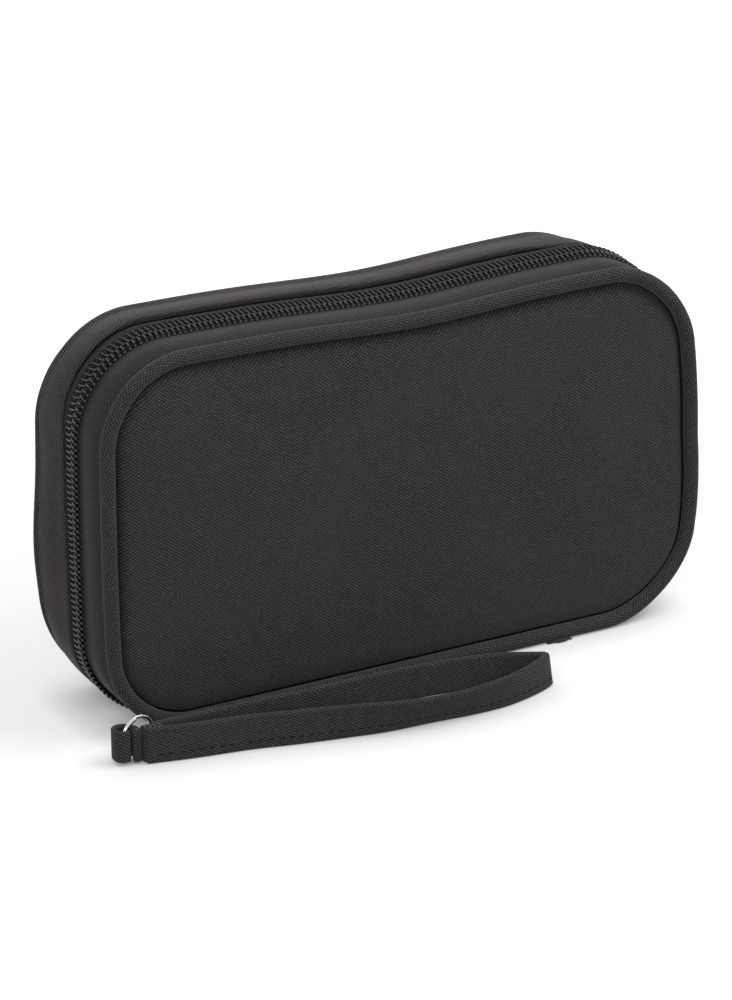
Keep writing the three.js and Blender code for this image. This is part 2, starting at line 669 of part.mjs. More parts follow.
const tabLine = [
  [-tabEyeReach, tabStart.z, tabEye], [-tabEyeReach + tabMargin, tabStart.z, tabWidth / 2],
  [tabEyeReach, tabStart.z, tabWidth / 2], [tabDrop, tabLow, tabWidth / 2], [tabLift, tabLow, tabWidth / 2],
  [tabRun - tabHoleReach, tabHigh, tabWidth / 2], [tabRun + tabHoleReach - tabMargin, tabHigh, tabWidth / 2],
  [tabRun + tabHoleReach, tabHigh, tabEye / 2],
];
const corners = [[-1, -1], [1, -1], [1, 1], [-1, 1]];
const tabSections = tabLine.map(([run, z, half]) => corners.map(([side, level]) =>
  new THREE.Vector3(run, side * half, z + level * tabThick / 2)));
function tabCut(radius, run, z) {
  const hole = new THREE.CylinderGeometry(radius, radius, tabThick + overrun, ringSteps / 2);
  return solidFrom(hole.rotateX(Math.PI / 2).translate(run, 0, z));
}
let tabSolid = solidFrom(loft(tabSections, false));
tabSolid = tabSolid.subtract(tabCut(tabEye, 0, tabStart.z)).subtract(tabCut(tabHole, tabRun, tabHigh));
const tabGeometry = geometryFrom(tabSolid).rotateZ(tabTurn).translate(tabStart.x, tabStart.y, 0);
addPiece("pull_tab", tabGeometry, metal);

// The ring stands upright through the tab's slot and the strap's end loop.
const ringGeometry = new THREE.TorusGeometry(ringMiddle, ringWire, ringSides, ringSteps);
ringGeometry.rotateX(Math.PI / 2).rotateZ(ringTurn).translate(ringPlace.x, ringPlace.y, ringPlace.z);
addPiece("split_ring", ringGeometry, metal);

// The wrist strap stands on edge: one long strip, folded at the right and sewn together at the left.
const strapPoints = strapLineShares.map(([along, across]) => new THREE.Vector3(
  strapLeftEnd + along * strapLength, pipingPlane - strapAhead - across * strapBow, 0));
const strapLine = new THREE.CatmullRomCurve3(strapPoints, false, "centripetal");
const strapSteps = 56;
function ribbon(points, thick, lowAt, highAt) {
  return loft(points.map((place, i) => {
    const before = points[Math.max(i - 1, 0)];
    const after = points[Math.min(i + 1, points.length - 1)];
    const along = after.clone().sub(before).normalize();
    const side = new THREE.Vector3(-along.y, along.x, 0).multiplyScalar(thick / 2);
    return [
      place.clone().add(side).setZ(lowAt(place)), place.clone().sub(side).setZ(lowAt(place)),
      place.clone().sub(side).setZ(highAt(place)), place.clone().add(side).setZ(highAt(place)),
    ];
  }), false);
}
function strapTop(place) {
  const share = (place.x - strapLeftEnd) / strapLength;
  return THREE.MathUtils.lerp(strapLeftHeight, strapRightHeight, THREE.MathUtils.smoothstep(share, 0, 0.5));
}
const jointBack = pipingPlane - strapAhead - strapThick / 2;
const jointLeft = strapLeftEnd + jointStart;
const joint = box(jointLength, jointDepth, strapLeftHeight, jointLeft + jointLength / 2,
  jointBack - jointDepth / 2, strapLeftHeight / 2);
const strapRibbon = ribbon(strapLine.getPoints(strapSteps), strapThick, () => 0, strapTop);
addPiece("wrist_strap", geometryFrom(solidFrom(strapRibbon).add(solidFrom(joint))), cloth);

// The end loop is a short piece of the same strip, gathered where it passes through the ring.
const loopPoints = loopLineShares.map(([along, across]) => new THREE.Vector3(
  strapLeftEnd + along * (jointStart - seat), jointBack - across * loopDepth, 0));
const loopLine = new THREE.CatmullRomCurve3(loopPoints, false, "centripetal");
const loopSteps = 20;
const loopRibbon = ribbon(loopLine.getPoints(loopSteps), loopThick, () => 0, () => loopHeight);
let loopSolid = solidFrom(loopRibbon);
[loopNotchHigh + loopHeight / 2, loopNotchLow - loopHeight / 2].forEach((z) => {
  const notch = box(notchLength, notchDepth, loopHeight, ringPlace.x - notchInset, ringPlace.y, z);
  loopSolid = loopSolid.subtract(solidFrom(notch));
});
addPiece("strap_end_loop", geometryFrom(loopSolid), cloth);

// The net pocket of the front half lies close to the lining. Its edge meets the binding, and the tape at the
// bottom. A band of elastic runs along its mouth.
const netLevel = frontLiningLevel + liningThick + netStand;
const netBack = netLevel + netThick;
const netDipShare = (netBack - spineFrontEdge) / (tapeLevelStart - spineFrontEdge);
const netEdge = seamRing(0).map(({ x, z, outX, outZ }, i) => {
  const tapeInside = tapeLevel + tapeThick + chainRecess * recessShares[i] * netDipShare;
  const inset = Math.max(panelEdgeInset, tapeInside + seat);
  return new THREE.Vector2(x - outX * inset, z - outZ * inset);
});
const isLow = (i) => netEdge[(i + netEdge.length) % netEdge.length].y < netTop;
const meetsNet = (i) => isLow(i - 1) || isLow(i) || isLow(i + 1);
const netStations = allStations.filter((i) => !isOnBottom(stations[i]) && meetsNet(i));
const netOutline = netStations.map((i) => new THREE.Vector2(netEdge[i].x, Math.min(netEdge[i].y, netTop)));
const netLeft = Math.min(...netOutline.map(({ x }) => x));
const netRight = Math.max(...netOutline.map(({ x }) => x));
const netBottom = Math.min(...netOutline.map(({ y }) => y));
const netCellX = (netRight - netLeft - netBar) / netColumns;
const netCellZ = (netTop - netBottom - netBar) / netRows;

function insideNet(x, z) {
  const crossings = netOutline.filter((a, i) => {
    const b = netOutline[(i + 1) % netOutline.length];
    return a.y > z !== b.y > z && x < a.x + (b.x - a.x) * (z - a.y) / (b.y - a.y);
  });
  return crossings.length % 2 === 1;
}

// A diamond hole, wound against the outline.
function netHole(x, z) {
  const reachX = (netCellX - netBar) / 2;
  const reachZ = (netCellZ - netBar) / 2;
  return new THREE.Path([
    new THREE.Vector2(x, z - reachZ), new THREE.Vector2(x + reachX, z),
    new THREE.Vector2(x, z + reachZ), new THREE.Vector2(x - reachX, z),
  ]);
}
const netShape = new THREE.Shape(netOutline);
for (let row = 0; row < netRows; row += 1) {
  for (let column = 0; column < netColumns; column += 1) {
    const x = netLeft + netBar / 2 + netCellX * (column + 0.5);
    const z = netBottom + netBar / 2 + netCellZ * (row + 0.5);
    if (corners.every(([across, up]) => insideNet(x + across * netCellX / 2, z + up * netCellZ / 2))) {
      netShape.holes.push(netHole(x, z));
    }
  }
}
const net = new THREE.ExtrudeGeometry(netShape, { depth: netThick, bevelEnabled: false });
addPiece("mesh_pocket", net.rotateX(Math.PI / 2).translate(0, netBack, 0), elastic);

// The hem reaches as far on each side as the case lets it over its whole height.
const hemBottom = netTop + seat;
function netEdgeAt(z, side) {
  const next = (i) => netEdge[(i + 1) % netEdge.length];
  const i = netEdge.findIndex((place, k) => place.x * side > 0 && place.y > z !== next(k).y > z);
  const share = (z - netEdge[i].y) / (next(i).y - netEdge[i].y);
  return THREE.MathUtils.lerp(netEdge[i].x, next(i).x, share);
}
function hemReach(side) {
  return Math.min(side * netEdgeAt(hemBottom, side), side * netEdgeAt(hemBottom + hemHeight, side)) - seat;
}
const hemLength = hemReach(-1) + hemReach(1);
addPiece("pocket_hem", box(hemLength, hemThick, hemHeight, (hemReach(1) - hemReach(-1)) / 2,
  netLevel + netThick / 2, hemBottom + hemHeight / 2), elastic);

// The elastic bands of the back half: an arch between two flat feet that are sewn to the lining.
function elasticBand(x, width, span, rise) {
  const face = backLiningLevel - liningThick - seat;
  const line = [new THREE.Vector2(-span / 2 - bandFoot, 0)];
  for (let i = 0; i <= archSteps; i += 1) {
    const lift = rise * Math.sin(Math.PI * i / archSteps) ** archFullness;
    line.push(new THREE.Vector2(span * (i / archSteps - 0.5), -lift));
  }
  line.push(new THREE.Vector2(span / 2 + bandFoot, 0));
  const sections = line.map((point, i) => {
    const before = line[Math.max(i - 1, 0)];
    const after = line[Math.min(i + 1, line.length - 1)];
    const along = after.clone().sub(before).normalize();
    const upper = point.clone().add(new THREE.Vector2(along.y, -along.x).multiplyScalar(bandThick));
    return [[point, -1], [upper, -1], [upper, 1], [point, 1]].map(([place, end]) =>
      new THREE.Vector3(x + place.x, face + place.y, loopHeightPlace + end * width / 2));
  });
  return loft(sections, false);
}
// The three bands stand in a row, in which the meter's band takes the length that the others leave.
const bandRow = caseLength - bandRowLeft - bandRowRight;
const meterBandSpan = bandRow - vialBandSpan - penBandSpan - 6 * bandFoot - 2 * bandSpacing;
const bands = [
  ["meter_band", meterBandWidth, meterBandSpan, meterBandRise],
  ["vial_loop", vialBandWidth, vialBandSpan, vialBandRise],
  ["pen_loop", penBandWidth, penBandSpan, penBandRise],
];
let bandStart = -caseLength / 2 + bandRowLeft;
bands.forEach(([name, width, span, rise]) => {
  const length = span + 2 * bandFoot;
  addPiece(name, elasticBand(bandStart + length / 2, width, span, rise), elastic);
  bandStart += length + bandSpacing;
});

export default caseGroup;
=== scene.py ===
# The glucose meter case as it looks: cloth, zip, trim and metal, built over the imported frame.
# The frame is in metres. Sizes here are in millimetres, and mm turns them into metres.
import math
from contextlib import contextmanager

import bmesh
import bpy
import numpy as np
from mathutils import Matrix, Vector, noise


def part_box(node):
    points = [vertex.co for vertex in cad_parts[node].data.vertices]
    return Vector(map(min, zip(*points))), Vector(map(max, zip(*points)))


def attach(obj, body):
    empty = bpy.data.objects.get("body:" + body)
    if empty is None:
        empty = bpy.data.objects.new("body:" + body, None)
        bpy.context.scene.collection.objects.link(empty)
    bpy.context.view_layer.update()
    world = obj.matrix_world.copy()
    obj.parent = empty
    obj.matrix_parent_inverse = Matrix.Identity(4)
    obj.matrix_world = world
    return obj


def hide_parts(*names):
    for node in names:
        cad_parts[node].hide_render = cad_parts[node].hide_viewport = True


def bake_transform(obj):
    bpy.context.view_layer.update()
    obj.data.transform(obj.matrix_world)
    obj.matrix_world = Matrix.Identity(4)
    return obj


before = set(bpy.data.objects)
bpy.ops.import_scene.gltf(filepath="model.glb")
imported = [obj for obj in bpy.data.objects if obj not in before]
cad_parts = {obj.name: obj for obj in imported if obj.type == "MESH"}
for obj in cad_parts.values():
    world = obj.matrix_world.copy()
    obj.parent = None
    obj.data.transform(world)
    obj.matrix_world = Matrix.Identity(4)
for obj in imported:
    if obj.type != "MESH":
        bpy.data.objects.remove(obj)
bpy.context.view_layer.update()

mm = 0.001

# The camera of the photograph, fitted to the case's outline and corners. It looks down a little from the
# left, from more than a metre away.
camera_target = Vector((-4.8, 6.25, 45.05)) * mm
camera_distance = 1100 * mm
camera_azimuth = math.radians(-29.56)
camera_elevation = math.radians(21.29)
camera_roll = math.radians(-0.47)


def put(name, data):
    """A new object in the scene."""
    made = bpy.data.objects.new(name, data)
    bpy.context.scene.collection.objects.link(made)
    return made


camera = put("camera", bpy.data.cameras.new("camera"))
bpy.context.scene.camera = camera
towards_camera = Vector((
    math.sin(camera_azimuth) * math.cos(camera_elevation),
    -math.cos(camera_azimuth) * math.cos(camera_elevation),
    math.sin(camera_elevation),
))
camera_turn = towards_camera.to_track_quat("Z", "Y").to_matrix() @ Matrix.Rotation(camera_roll, 3, "Z")
camera.matrix_world = Matrix.LocRotScale(
    camera_target + towards_camera * camera_distance, camera_turn, None)
camera.data.sensor_fit = "VERTICAL"
camera.data.sensor_height = 36
camera.data.lens = 151.23
camera.data.clip_start = 10 * mm


# White surroundings and a pale floor that keeps the soft shadow of the case, and turns to plain white away
# from it. Near the case, the floor's glow that the camera and the shiny pieces see is darkened by ambient
# occlusion: a painted contact shadow laid over the real one. The camera and the shiny pieces see a white sky,
# which lights the rest with less.
sky_light = 0.3
floor_size = 4000
floor_seen = 0.6
floor_bounce = 0.3
floor_glow = 0.62
# Reach and least level of the painted contact shadow that ambient occlusion puts in the floor's glow.
shadow_reach = 14
shadow_least = 0.1
white_from = 130  # beyond this the floor turns to plain white
white_to = 330

bpy.context.scene.view_settings.view_transform = "Standard"


class Shading:
    """The nodes of one material, or of the sky, with short calls to add and join them."""

    def __init__(self, owner):
        owner.use_nodes = True
        self.tree = owner.node_tree
        self.nodes = self.tree.nodes

    def add(self, kind, inputs, **settings):
        node = self.nodes.new(kind)
        for name, value in settings.items():
            setattr(node, name, value)
        self.fill(node, inputs)
        return node

    def fill(self, node, inputs):
        for name, value in inputs.items():
            self.join(value, node.inputs[name])

    def surface(self, inputs):
        self.fill(self.nodes["Principled BSDF"], inputs)

    def join(self, value, socket):
        if isinstance(value, bpy.types.NodeSocket):
            self.tree.links.new(value, socket)
        else:
            socket.default_value = value

    def maths(self, operation, first, second=0.0, third=0.0):
        node = self.nodes.new("ShaderNodeMath")
        node.operation = operation
        self.fill(node, {0: first, 1: second, 2: third})
        return node.outputs[0]

    def blend(self, share, low, high):
        """A colour between low and high."""
        return self.add("ShaderNodeMix", {0: share, 6: low, 7: high}, data_type="RGBA").outputs[2]

    def ramp(self, value, low, high, to_low=0.0, to_high=1.0):
        node = self.add("ShaderNodeMapRange", {"Value": value, "From Min": low, "From Max": high,
                        "To Min": to_low, "To Max": to_high})
        return node.outputs[0]

    def noise(self, place, scale, detail=2.0, roughness=0.5):
        node = self.add("ShaderNodeTexNoise", {"Vector": place, "Scale": scale, "Detail": detail,
                        "Roughness": roughness})
        return node.outputs[0]

    def seen(self):
        """1 for the rays of the camera and those that shiny and clear pieces send, and otherwise 0."""
        rays = self.add("ShaderNodeLightPath", {}).outputs
        shiny = self.maths("MAXIMUM", rays["Is Glossy Ray"], rays["Is Transmission Ray"])
        return self.maths("MAXIMUM", rays["Is Camera Ray"], shiny)


sky = bpy.data.worlds.new("sky")
bpy.context.scene.world = sky
sky_nodes = Shading(sky)
sky_strength = sky_nodes.ramp(sky_nodes.seen(), 0, 1, sky_light, 1.0)
sky_nodes.fill(sky_nodes.nodes["Background"], {"Color": (1, 1, 1, 1), "Strength": sky_strength})


def add_mesh(name, points, faces):
    """A mesh object of points in millimetres."""
    mesh = bpy.data.meshes.new(name)
    mesh.from_pydata((np.asarray(points, float).reshape(-1, 3) * mm).tolist(), [], faces)
    mesh.update()
    return put(name, mesh)


floor_half = floor_size / 2
floor_corners = [(-1, -1), (1, -1), (1, 1), (-1, 1)]
floor = add_mesh("floor", [(x * floor_half, y * floor_half, 0) for x, y in floor_corners], [(0, 1, 2, 3)])
floor_paper = bpy.data.materials.new("floor_paper")
paper_nodes = Shading(floor_paper)
paper_seen = paper_nodes.seen()
paper_tone = paper_nodes.blend(paper_seen, (floor_bounce,) * 3 + (1,), (floor_seen,) * 3 + (1,))
# Painted shadow: ambient occlusion darkens the floor's camera-seen glow near the case.
painted_shadow_occlusion = paper_nodes.add("ShaderNodeAmbientOcclusion", {"Distance": shadow_reach * mm}, samples=8)
paper_place = paper_nodes.add("ShaderNodeTexCoord", {}).outputs["Object"]
paper_away = paper_nodes.add("ShaderNodeVectorMath", {0: paper_place}, operation="LENGTH").outputs["Value"]
paper_glow = paper_nodes.ramp(paper_away, white_from * mm, white_to * mm, floor_glow, 1.0)
painted_floor_shadow = paper_nodes.ramp(painted_shadow_occlusion.outputs["AO"], 0, 1, shadow_least, 1.0)
paper_glow = paper_nodes.maths("MULTIPLY", paper_seen, paper_nodes.maths("MULTIPLY", painted_floor_shadow, paper_glow))
paper_nodes.surface({"Base Color": paper_tone, "Roughness": 1.0, "Specular IOR Level": 0.0,
                     "Emission Color": (1, 1, 1, 1), "Emission Strength": paper_glow})
floor.data.materials.append(floor_paper)


# The lamps: a large soft box high on the right, which lightens the top right of the front and glints on the
# coil, and a wide one in front on the left.
def soft_box(name, place, target, width, depth, radiance):
    """An area lamp whose face has the given radiance, where 1 is white."""
    lamp = bpy.data.lights.new(name, "AREA")
    lamp.shape = "RECTANGLE"
    lamp.size = width * mm
    lamp.size_y = depth * mm
    lamp.energy = radiance * math.pi * lamp.size * lamp.size_y
    holder = put(name, lamp)
    holder.location = Vector(place) * mm
    holder.rotation_euler = (Vector(place) - Vector(target)).to_track_quat("Z", "Y").to_euler()


soft_box("lamp_top", (330, -240, 600), (20, 0, 60), 460, 420, 3.8)
soft_box("lamp_front", (-900, -800, 560), (0, 0, 40), 900, 700, 3.2)


# The seam line of the case, as in the CAD model: a rounded rectangle whose ends are drawn in towards the
# corners and whose top sags. It carries the panels, piping, tapes, zip and gusset.
case_length = 178
case_height = 102
front_depth = 15.6  # zip plane to the middle of the front piping
back_depth = 19.6
corner_radius = 24
corner_growth = (3.5, 2.2, 7, 3.5)  # rear corners: bottom left, top left, top right, bottom right
rear_flare = 0.8
left_draw = 1
right_draw = 6
low_bulge = 1.3  # of the right end
rear_bulge = 1.5  # of the rear edge of the left end
rear_bulge_place = 42
rear_bulge_spread = 16
top_sag = 1.9
top_sag_place = 3.4
top_sag_spread = 30
piping_radius = 2
seat = 0.3  # clearance between pieces that touch
fold_place = 5.1  # zip plane to the folded edge of the gusset
hinge_gap = 0.4  # at the spine
zip_plane = (front_depth - piping_radius - seat + hinge_gap) / 2  # its place in the frame
station_step = 1.0

flat_half = case_length / 2 - corner_radius
corner_steps = round(corner_radius * math.pi / 2 / station_step)
side_steps = round((case_height - 2 * corner_radius) / station_step)
half_steps = round(flat_half / station_step)


def make_stations():
    """Kind and share of each station, from the middle of the bottom round by the left."""
    half, corner, side, top = (np.arange(steps) / steps for steps in
                               (half_steps, corner_steps, side_steps, 2 * half_steps))
    runs = [half, corner, side, corner, top, corner, side, 1 - corner, 1 - half]
    kinds = np.concatenate([np.full(len(run), kind) for kind, run in enumerate(runs)])
    return kinds[:, None], np.concatenate(runs)[:, None]


station_kind, station_share = make_stations()
station_count = len(station_kind)
on_bottom = np.isin(station_kind, (0, 8))[:, 0]
on_low_corner = np.isin(station_kind, (1, 7))[:, 0]
along_flat = station_share[:, 0] * flat_half  # from the middle of the bottom


def seam_places(rear):
    """Places in X and Z of all stations. Rear is 0 at the zip and 1 at the rear piping."""
    low_left, high_left, high_right, low_right = (corner_radius + growth * rear for growth in corner_growth)
    half = case_length / 2
    sine = np.sin(station_share * math.pi / 2)
    cosine = np.cos(station_share * math.pi / 2)
    flat = np.zeros_like(low_left * sine)
    top_run = (half - high_right) - (high_left - half)
    left_run = case_height - high_left - low_left
    right_run = case_height - high_right - low_right
    xs = np.choose(station_kind, [
        flat + (low_left - half) * station_share,
        low_left - half - low_left * sine,
        flat - half,
        high_left - half - high_left * cosine,
        high_left - half + top_run * station_share,
        half - high_right + high_right * sine,
        flat + half,
        half - low_right + low_right * sine,
        flat + (half - low_right) * station_share])
    zs = np.choose(station_kind, [
        flat,
        low_left - low_left * cosine,
        low_left + left_run * station_share,
        case_height - high_left + high_left * sine,
        flat + case_height,
        case_height - high_right + high_right * cosine,
        case_height - high_right - right_run * station_share,
        low_right - low_right * cosine,
        flat])
    away = (zs - case_height / 2) / (case_height / 2)
    right_bulge = low_bulge * np.sin(math.pi * np.clip(-away, 0, 1))
    left_bulge = rear_bulge * rear * np.exp(-(((zs - rear_bulge_place) / rear_bulge_spread) ** 2))
    draw = np.where(xs > 0, right_draw * away * away - right_bulge, left_draw * away * away - left_bulge)
    upper = np.clip((zs / case_height - 0.5) * 2, 0, 1)
    sag = top_sag * np.exp(-(((xs - top_sag_place) / top_sag_spread) ** 2)) * upper
    flare = rear * rear_flare
    return xs * (1 - draw / half) * (1 + flare / half), (zs - sag) * (1 + flare / case_height)


def outward(x, z):
    """The way out of the seam line at each station, in X and Z."""
    x_run = np.roll(x, -1, axis=0) - np.roll(x, 1, axis=0)
    z_run = np.roll(z, -1, axis=0) - np.roll(z, 1, axis=0)
    length = np.hypot(x_run, z_run)
    return -z_run / length, x_run / length


def case_points(y, outside):
    """Points of all stations. Y is behind the zip plane, and outside is past the seam line. Both have one
    value per row, or one per station and row."""
    y, outside = np.broadcast_arrays(np.atleast_2d(y), np.atleast_2d(outside))
    y = np.broadcast_to(y, (station_count, y.shape[1]))
    outside = np.broadcast_to(outside, y.shape)
    rear = np.clip((y - fold_place) / (back_depth - fold_place), 0, 1)
    x, z = seam_places(rear)
    out_x, out_z = outward(x, z)
    return np.stack([x + out_x * outside, y + zip_plane, z + out_z * outside], axis=-1)


facing = (case_points([0], [1]) - case_points([0], [0]))[:, 0]
faces_up = np.clip(facing[:, 2], 0, 1)
faces_left = np.clip(-facing[:, 0], 0, 1)


# The front panel is one piece of matte black polyester in a plain weave, over a padding board. It is
# stretched so that it rises in a round shoulder from a crease along the piping, and crowns softly.
cloth_dark = (0.007, 0.0066, 0.0072, 1)
cloth_light = (0.152, 0.139, 0.146, 1)
cloth_warm = (0.064, 0.050, 0.046, 1)
cloth_threads = (0.79, 1.13)  # crossings per millimetre along and across
bias = math.radians(45)
thread_shake = 0.5  # how far the threads stray, in millimetres
shake_scale = 0.55
fuzz_share = 0.36  # of the grain in the weave
fuzz_scale = 1.5
weave_contrast = 2.1
mottle_scale = 420
patch_scale = 30
lint_scale = 1.15
lint_colour = (0.26, 0.25, 0.25, 1)


def woven(name, by_uv, threads, angle=0.0, dark=cloth_dark, light=cloth_light, warm_share=0.3,
          lint=1.0, relief=0.08, sheen=0.2, roughness=0.9):
    """Woven cloth: crossing threads, colour that varies in patches, and lint. With no threads across, it is
    ribbed."""
    made = bpy.data.materials.new(name)
    shading = Shading(made)
    solid = shading.add("ShaderNodeTexCoord", {}).outputs["Object"]
    if by_uv:
        uv = shading.add("ShaderNodeUVMap", {}, uv_map="Cloth").outputs[0]
        place = shading.add("ShaderNodeVectorMath", {0: uv, 1: (1000,) * 3}, operation="MULTIPLY").outputs[0]
    else:
        split = shading.add("ShaderNodeSeparateXYZ", {0: solid})
        x = shading.maths("MULTIPLY", split.outputs[0], 1000)
        z = shading.maths("MULTIPLY", split.outputs[2], 1000)
        place = shading.add("ShaderNodeCombineXYZ", {0: x, 1: z}).outputs[0]
    shake = shading.add("ShaderNodeTexNoise", {"Vector": place, "Scale": shake_scale, "Detail": 2.0})
    shaken = shading.add("ShaderNodeVectorMath", {0: shake.outputs["Color"], 1: (thread_shake,) * 3,
                         2: place}, operation="MULTIPLY_ADD").outputs[0]
    turn = shading.add("ShaderNodeVectorRotate", {"Vector": shaken, "Angle": angle}, rotation_type="Z_AXIS")
    thread = shading.add("ShaderNodeSeparateXYZ", {0: turn.outputs[0]})
    across = shading.maths("COSINE", shading.maths("MULTIPLY", thread.outputs[0], math.tau * threads[0]))
    along = shading.maths("COSINE", shading.maths("MULTIPLY", thread.outputs[1], math.tau * threads[1]))
    weave = shading.maths("MULTIPLY_ADD", shading.maths("MULTIPLY", across, along), 0.5, 0.5)
    grain = shading.ramp(shading.noise(place, fuzz_scale, 4.0, 0.75), 0.28, 0.72)
    mixed = shading.maths("ADD", shading.maths("MULTIPLY", weave, 1 - fuzz_share),
                          shading.maths("MULTIPLY", grain, fuzz_share))
    mottle = shading.ramp(shading.noise(solid, mottle_scale, 3.0, 0.6), 0.3, 0.7, 0.82, 1.18)
    level = shading.maths("POWER", shading.ramp(mixed, 0.12, 0.95), weave_contrast)
    colour = shading.blend(shading.maths("MULTIPLY", level, mottle), dark, light)
    wide = shading.noise(solid, patch_scale, 3.0, 0.55)
    warm = shading.maths("MULTIPLY", shading.ramp(wide, 0.45, 0.75), warm_share)
    colour = shading.blend(warm, colour, cloth_warm)
    flecks = shading.noise(place, lint_scale, 6.0, 0.75)
    speck = shading.maths("MULTIPLY", shading.ramp(flecks, 0.72, 0.80), 0.4 * lint)
    colour = shading.blend(speck, colour, lint_colour)
    bump = shading.add("ShaderNodeBump", {"Height": mixed, "Strength": 0.7, "Distance": relief * mm})
    shading.surface({"Base Color": colour, "Roughness": roughness, "Specular IOR Level": 0.2,
                     "Sheen Weight": sheen, "Sheen Roughness": 0.45, "Sheen Tint": (0.75, 0.72, 0.72, 1),
                     "Normal": bump.outputs[0]})
    return made


panel_cloth = woven("panel_cloth", False, cloth_threads)

panel_inset = 4.3  # seam line to the edge of the panel
cloth_thick = 0.9
front_crown = 2.6
back_crown = 1.2
crease_depth = 3.3
crease_width = 2.1
foam_crease = 2.4
foam_inset = 1.5
low_crease = 0.4  # share of the crease along the lower edge
right_crease = 0.55  # and along the right one
low_crease_height = 45  # over this the crease is whole
right_crease_from = 60
right_crease_run = 20
crease_curve = 1.2
centre_share = 0.62
centre_half = 40  # the panel's rings shrink to a line of this half length
dents = [(31, 0.55, 0), (11, 0.16, 3)]  # size, height and seed
dent_share = 0.35
pucker_height = 0.30
pucker_size = 5.2
pucker_reach = 4.5
shoulder_width = 8
merge_distance = 0.02
edge_offsets = [0, 0.4, 0.8, 1.2, 1.7, 2.3, 3.0, 3.8, 4.8, 6.0, 7.4, 9.0]
inner_rings = 22


def wobble(places, size, seed):
    """Smooth noise from about -1 to 1 at each place, with lumps of the given size."""
    shift = Vector((seed * 7.31, seed * 3.17, seed * 5.53))
    flat = np.asarray(places, float).reshape(-1, 3)
    values = [noise.noise(Vector(place) / size + shift) for place in flat]
    return np.array(values).reshape(np.shape(places)[:-1])


@contextmanager
def reworked(mesh):
    """Opens a mesh for changes, and writes them back at the end."""
    made = bmesh.new()
    made.from_mesh(mesh)
    yield made
    made.to_mesh(mesh)
    made.free()


def face_out(piece):
    """Turns the faces of a closed mesh outwards and shades them smooth."""
    with reworked(piece.data) as made:
        bmesh.ops.recalc_face_normals(made, faces=made.faces)
    piece.data.shade_smooth()


def dress(piece, material, body, slot_name, *nodes):
    """Sets a piece's material, what it moves with and the CAD nodes that it stands for. Its slot name, a
    finish, is not used.
    """
    piece.data.materials.append(material)
    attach(piece, body)
    if nodes:
        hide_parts(*nodes)
    return piece


def ring_faces(here, there, count):
    """The faces between two rings of points, given where each starts."""
    return [(here + j, there + j, there + (j + 1) % count, here + (j + 1) % count) for j in range(count)]


def panel_rings(rear, inset):
    """Rings of (x, z) from the panel's edge to a line in its middle, each with its distance from the edge,
    and the distance of the last one."""
    x, z = (value[:, 0] for value in seam_places(rear))
    out = np.stack(outward(x, z), axis=-1)
    edge = np.stack([x, z], axis=-1) - out * inset
    centre = np.round(np.clip(x * centre_share, -centre_half, centre_half))
    target = np.stack([centre, np.full_like(x, case_height / 2)], axis=-1)
    rings = [(edge - out * offset, offset) for offset in edge_offsets]
    last = rings[-1][0]
    left = np.linalg.norm(last - target, axis=1).mean()
    for i in range(1, inner_rings + 1):
        share = i / inner_rings
        rings.append((last + (target - last) * share, edge_offsets[-1] + left * share))
    return rings, edge_offsets[-1] + left


def panel(name, level, out, inset, rear, crown, crease, thick, seed, flat_back=False):
    """A panel of cloth or padding. Level is behind the zip plane, and out is the side that it crowns to."""
    rings, reach = panel_rings(rear, inset)
    front = []
    back = []
    for ring, distance in rings:
        places = np.stack([ring[:, 0], np.full(len(ring), level), ring[:, 1]], axis=-1)
        share = 1 - distance / reach
        pressed = crease * (low_crease + (1 - low_crease) * np.clip(ring[:, 1] / low_crease_height, 0, 1))
        to_right = np.clip((ring[:, 0] - right_crease_from) / right_crease_run, 0, 1)
        pressed = pressed * (1 - (1 - right_crease) * to_right)
        lift = crown * (1 - share * share) - pressed * math.exp(-((distance / crease_width) ** crease_curve))
        dented = sum(wobble(places, size, seed + more) * deep for size, deep, more in dents)
        near_edge = math.exp(-distance / pucker_reach) * min(distance / 1.5, 1)
        pucker = wobble(places, pucker_size, seed + 5) * near_edge
        height = lift + crown * dent_share * dented * min(distance / shoulder_width, 1)
        height = height + pucker_height * pucker * min(crease, 1)
        inner = height * 0 if flat_back else height
        for rows, level_out in ((front, height), (back, inner - thick)):
            rows.append(places + np.stack([height * 0, out * level_out + zip_plane, height * 0], axis=-1))
    faces = []
    starts = [i * station_count for i in range(len(front) * 2)]
    for i, start in enumerate(starts):
        if i != len(front) - 1:
            faces += ring_faces(start, starts[i + 1 - len(starts)], station_count)
    piece = add_mesh(name, np.concatenate(front + back[::-1]), faces)
    with reworked(piece.data) as made:
        bmesh.ops.remove_doubles(made, verts=made.verts, dist=merge_distance * mm)
    face_out(piece)
    return piece


front_level = -front_depth - seat
cover = panel("front_panel", front_level, -1, panel_inset, 0, front_crown, crease_depth, cloth_thick, 1)
dress(cover, panel_cloth, "front_half", "cloth", "front_cover")


# Both seams are piped: a cord is wrapped in a strip of the same cloth, cut at a slight slant, and sewn in
# between the panel and the wall. Its stitches pull it in a little here and there.
piping_sides = 18
piping_uneven = [(7, 0.035, 0), (2.6, 0.02, 2)]  # size, share and seed
rear_piping_sunk = 0.4  # along the top


def lay_cloth(piece, across, along):
    """Gives a mesh the UV map that its weave follows, in metres, from one value per vertex."""
    mesh = piece.data
    vertex = np.zeros(len(mesh.loops), int)
    mesh.loops.foreach_get("vertex_index", vertex)
    layer = mesh.uv_layers.new(name="Cloth")
    flat = np.stack([np.asarray(along)[vertex], np.asarray(across)[vertex]], axis=-1) * mm
    layer.data.foreach_set("uv", flat.ravel())


def run_along(line):
    """How far along a line each of its points lies."""
    return np.concatenate([[0], np.cumsum(np.linalg.norm(np.diff(line, axis=0), axis=1))])


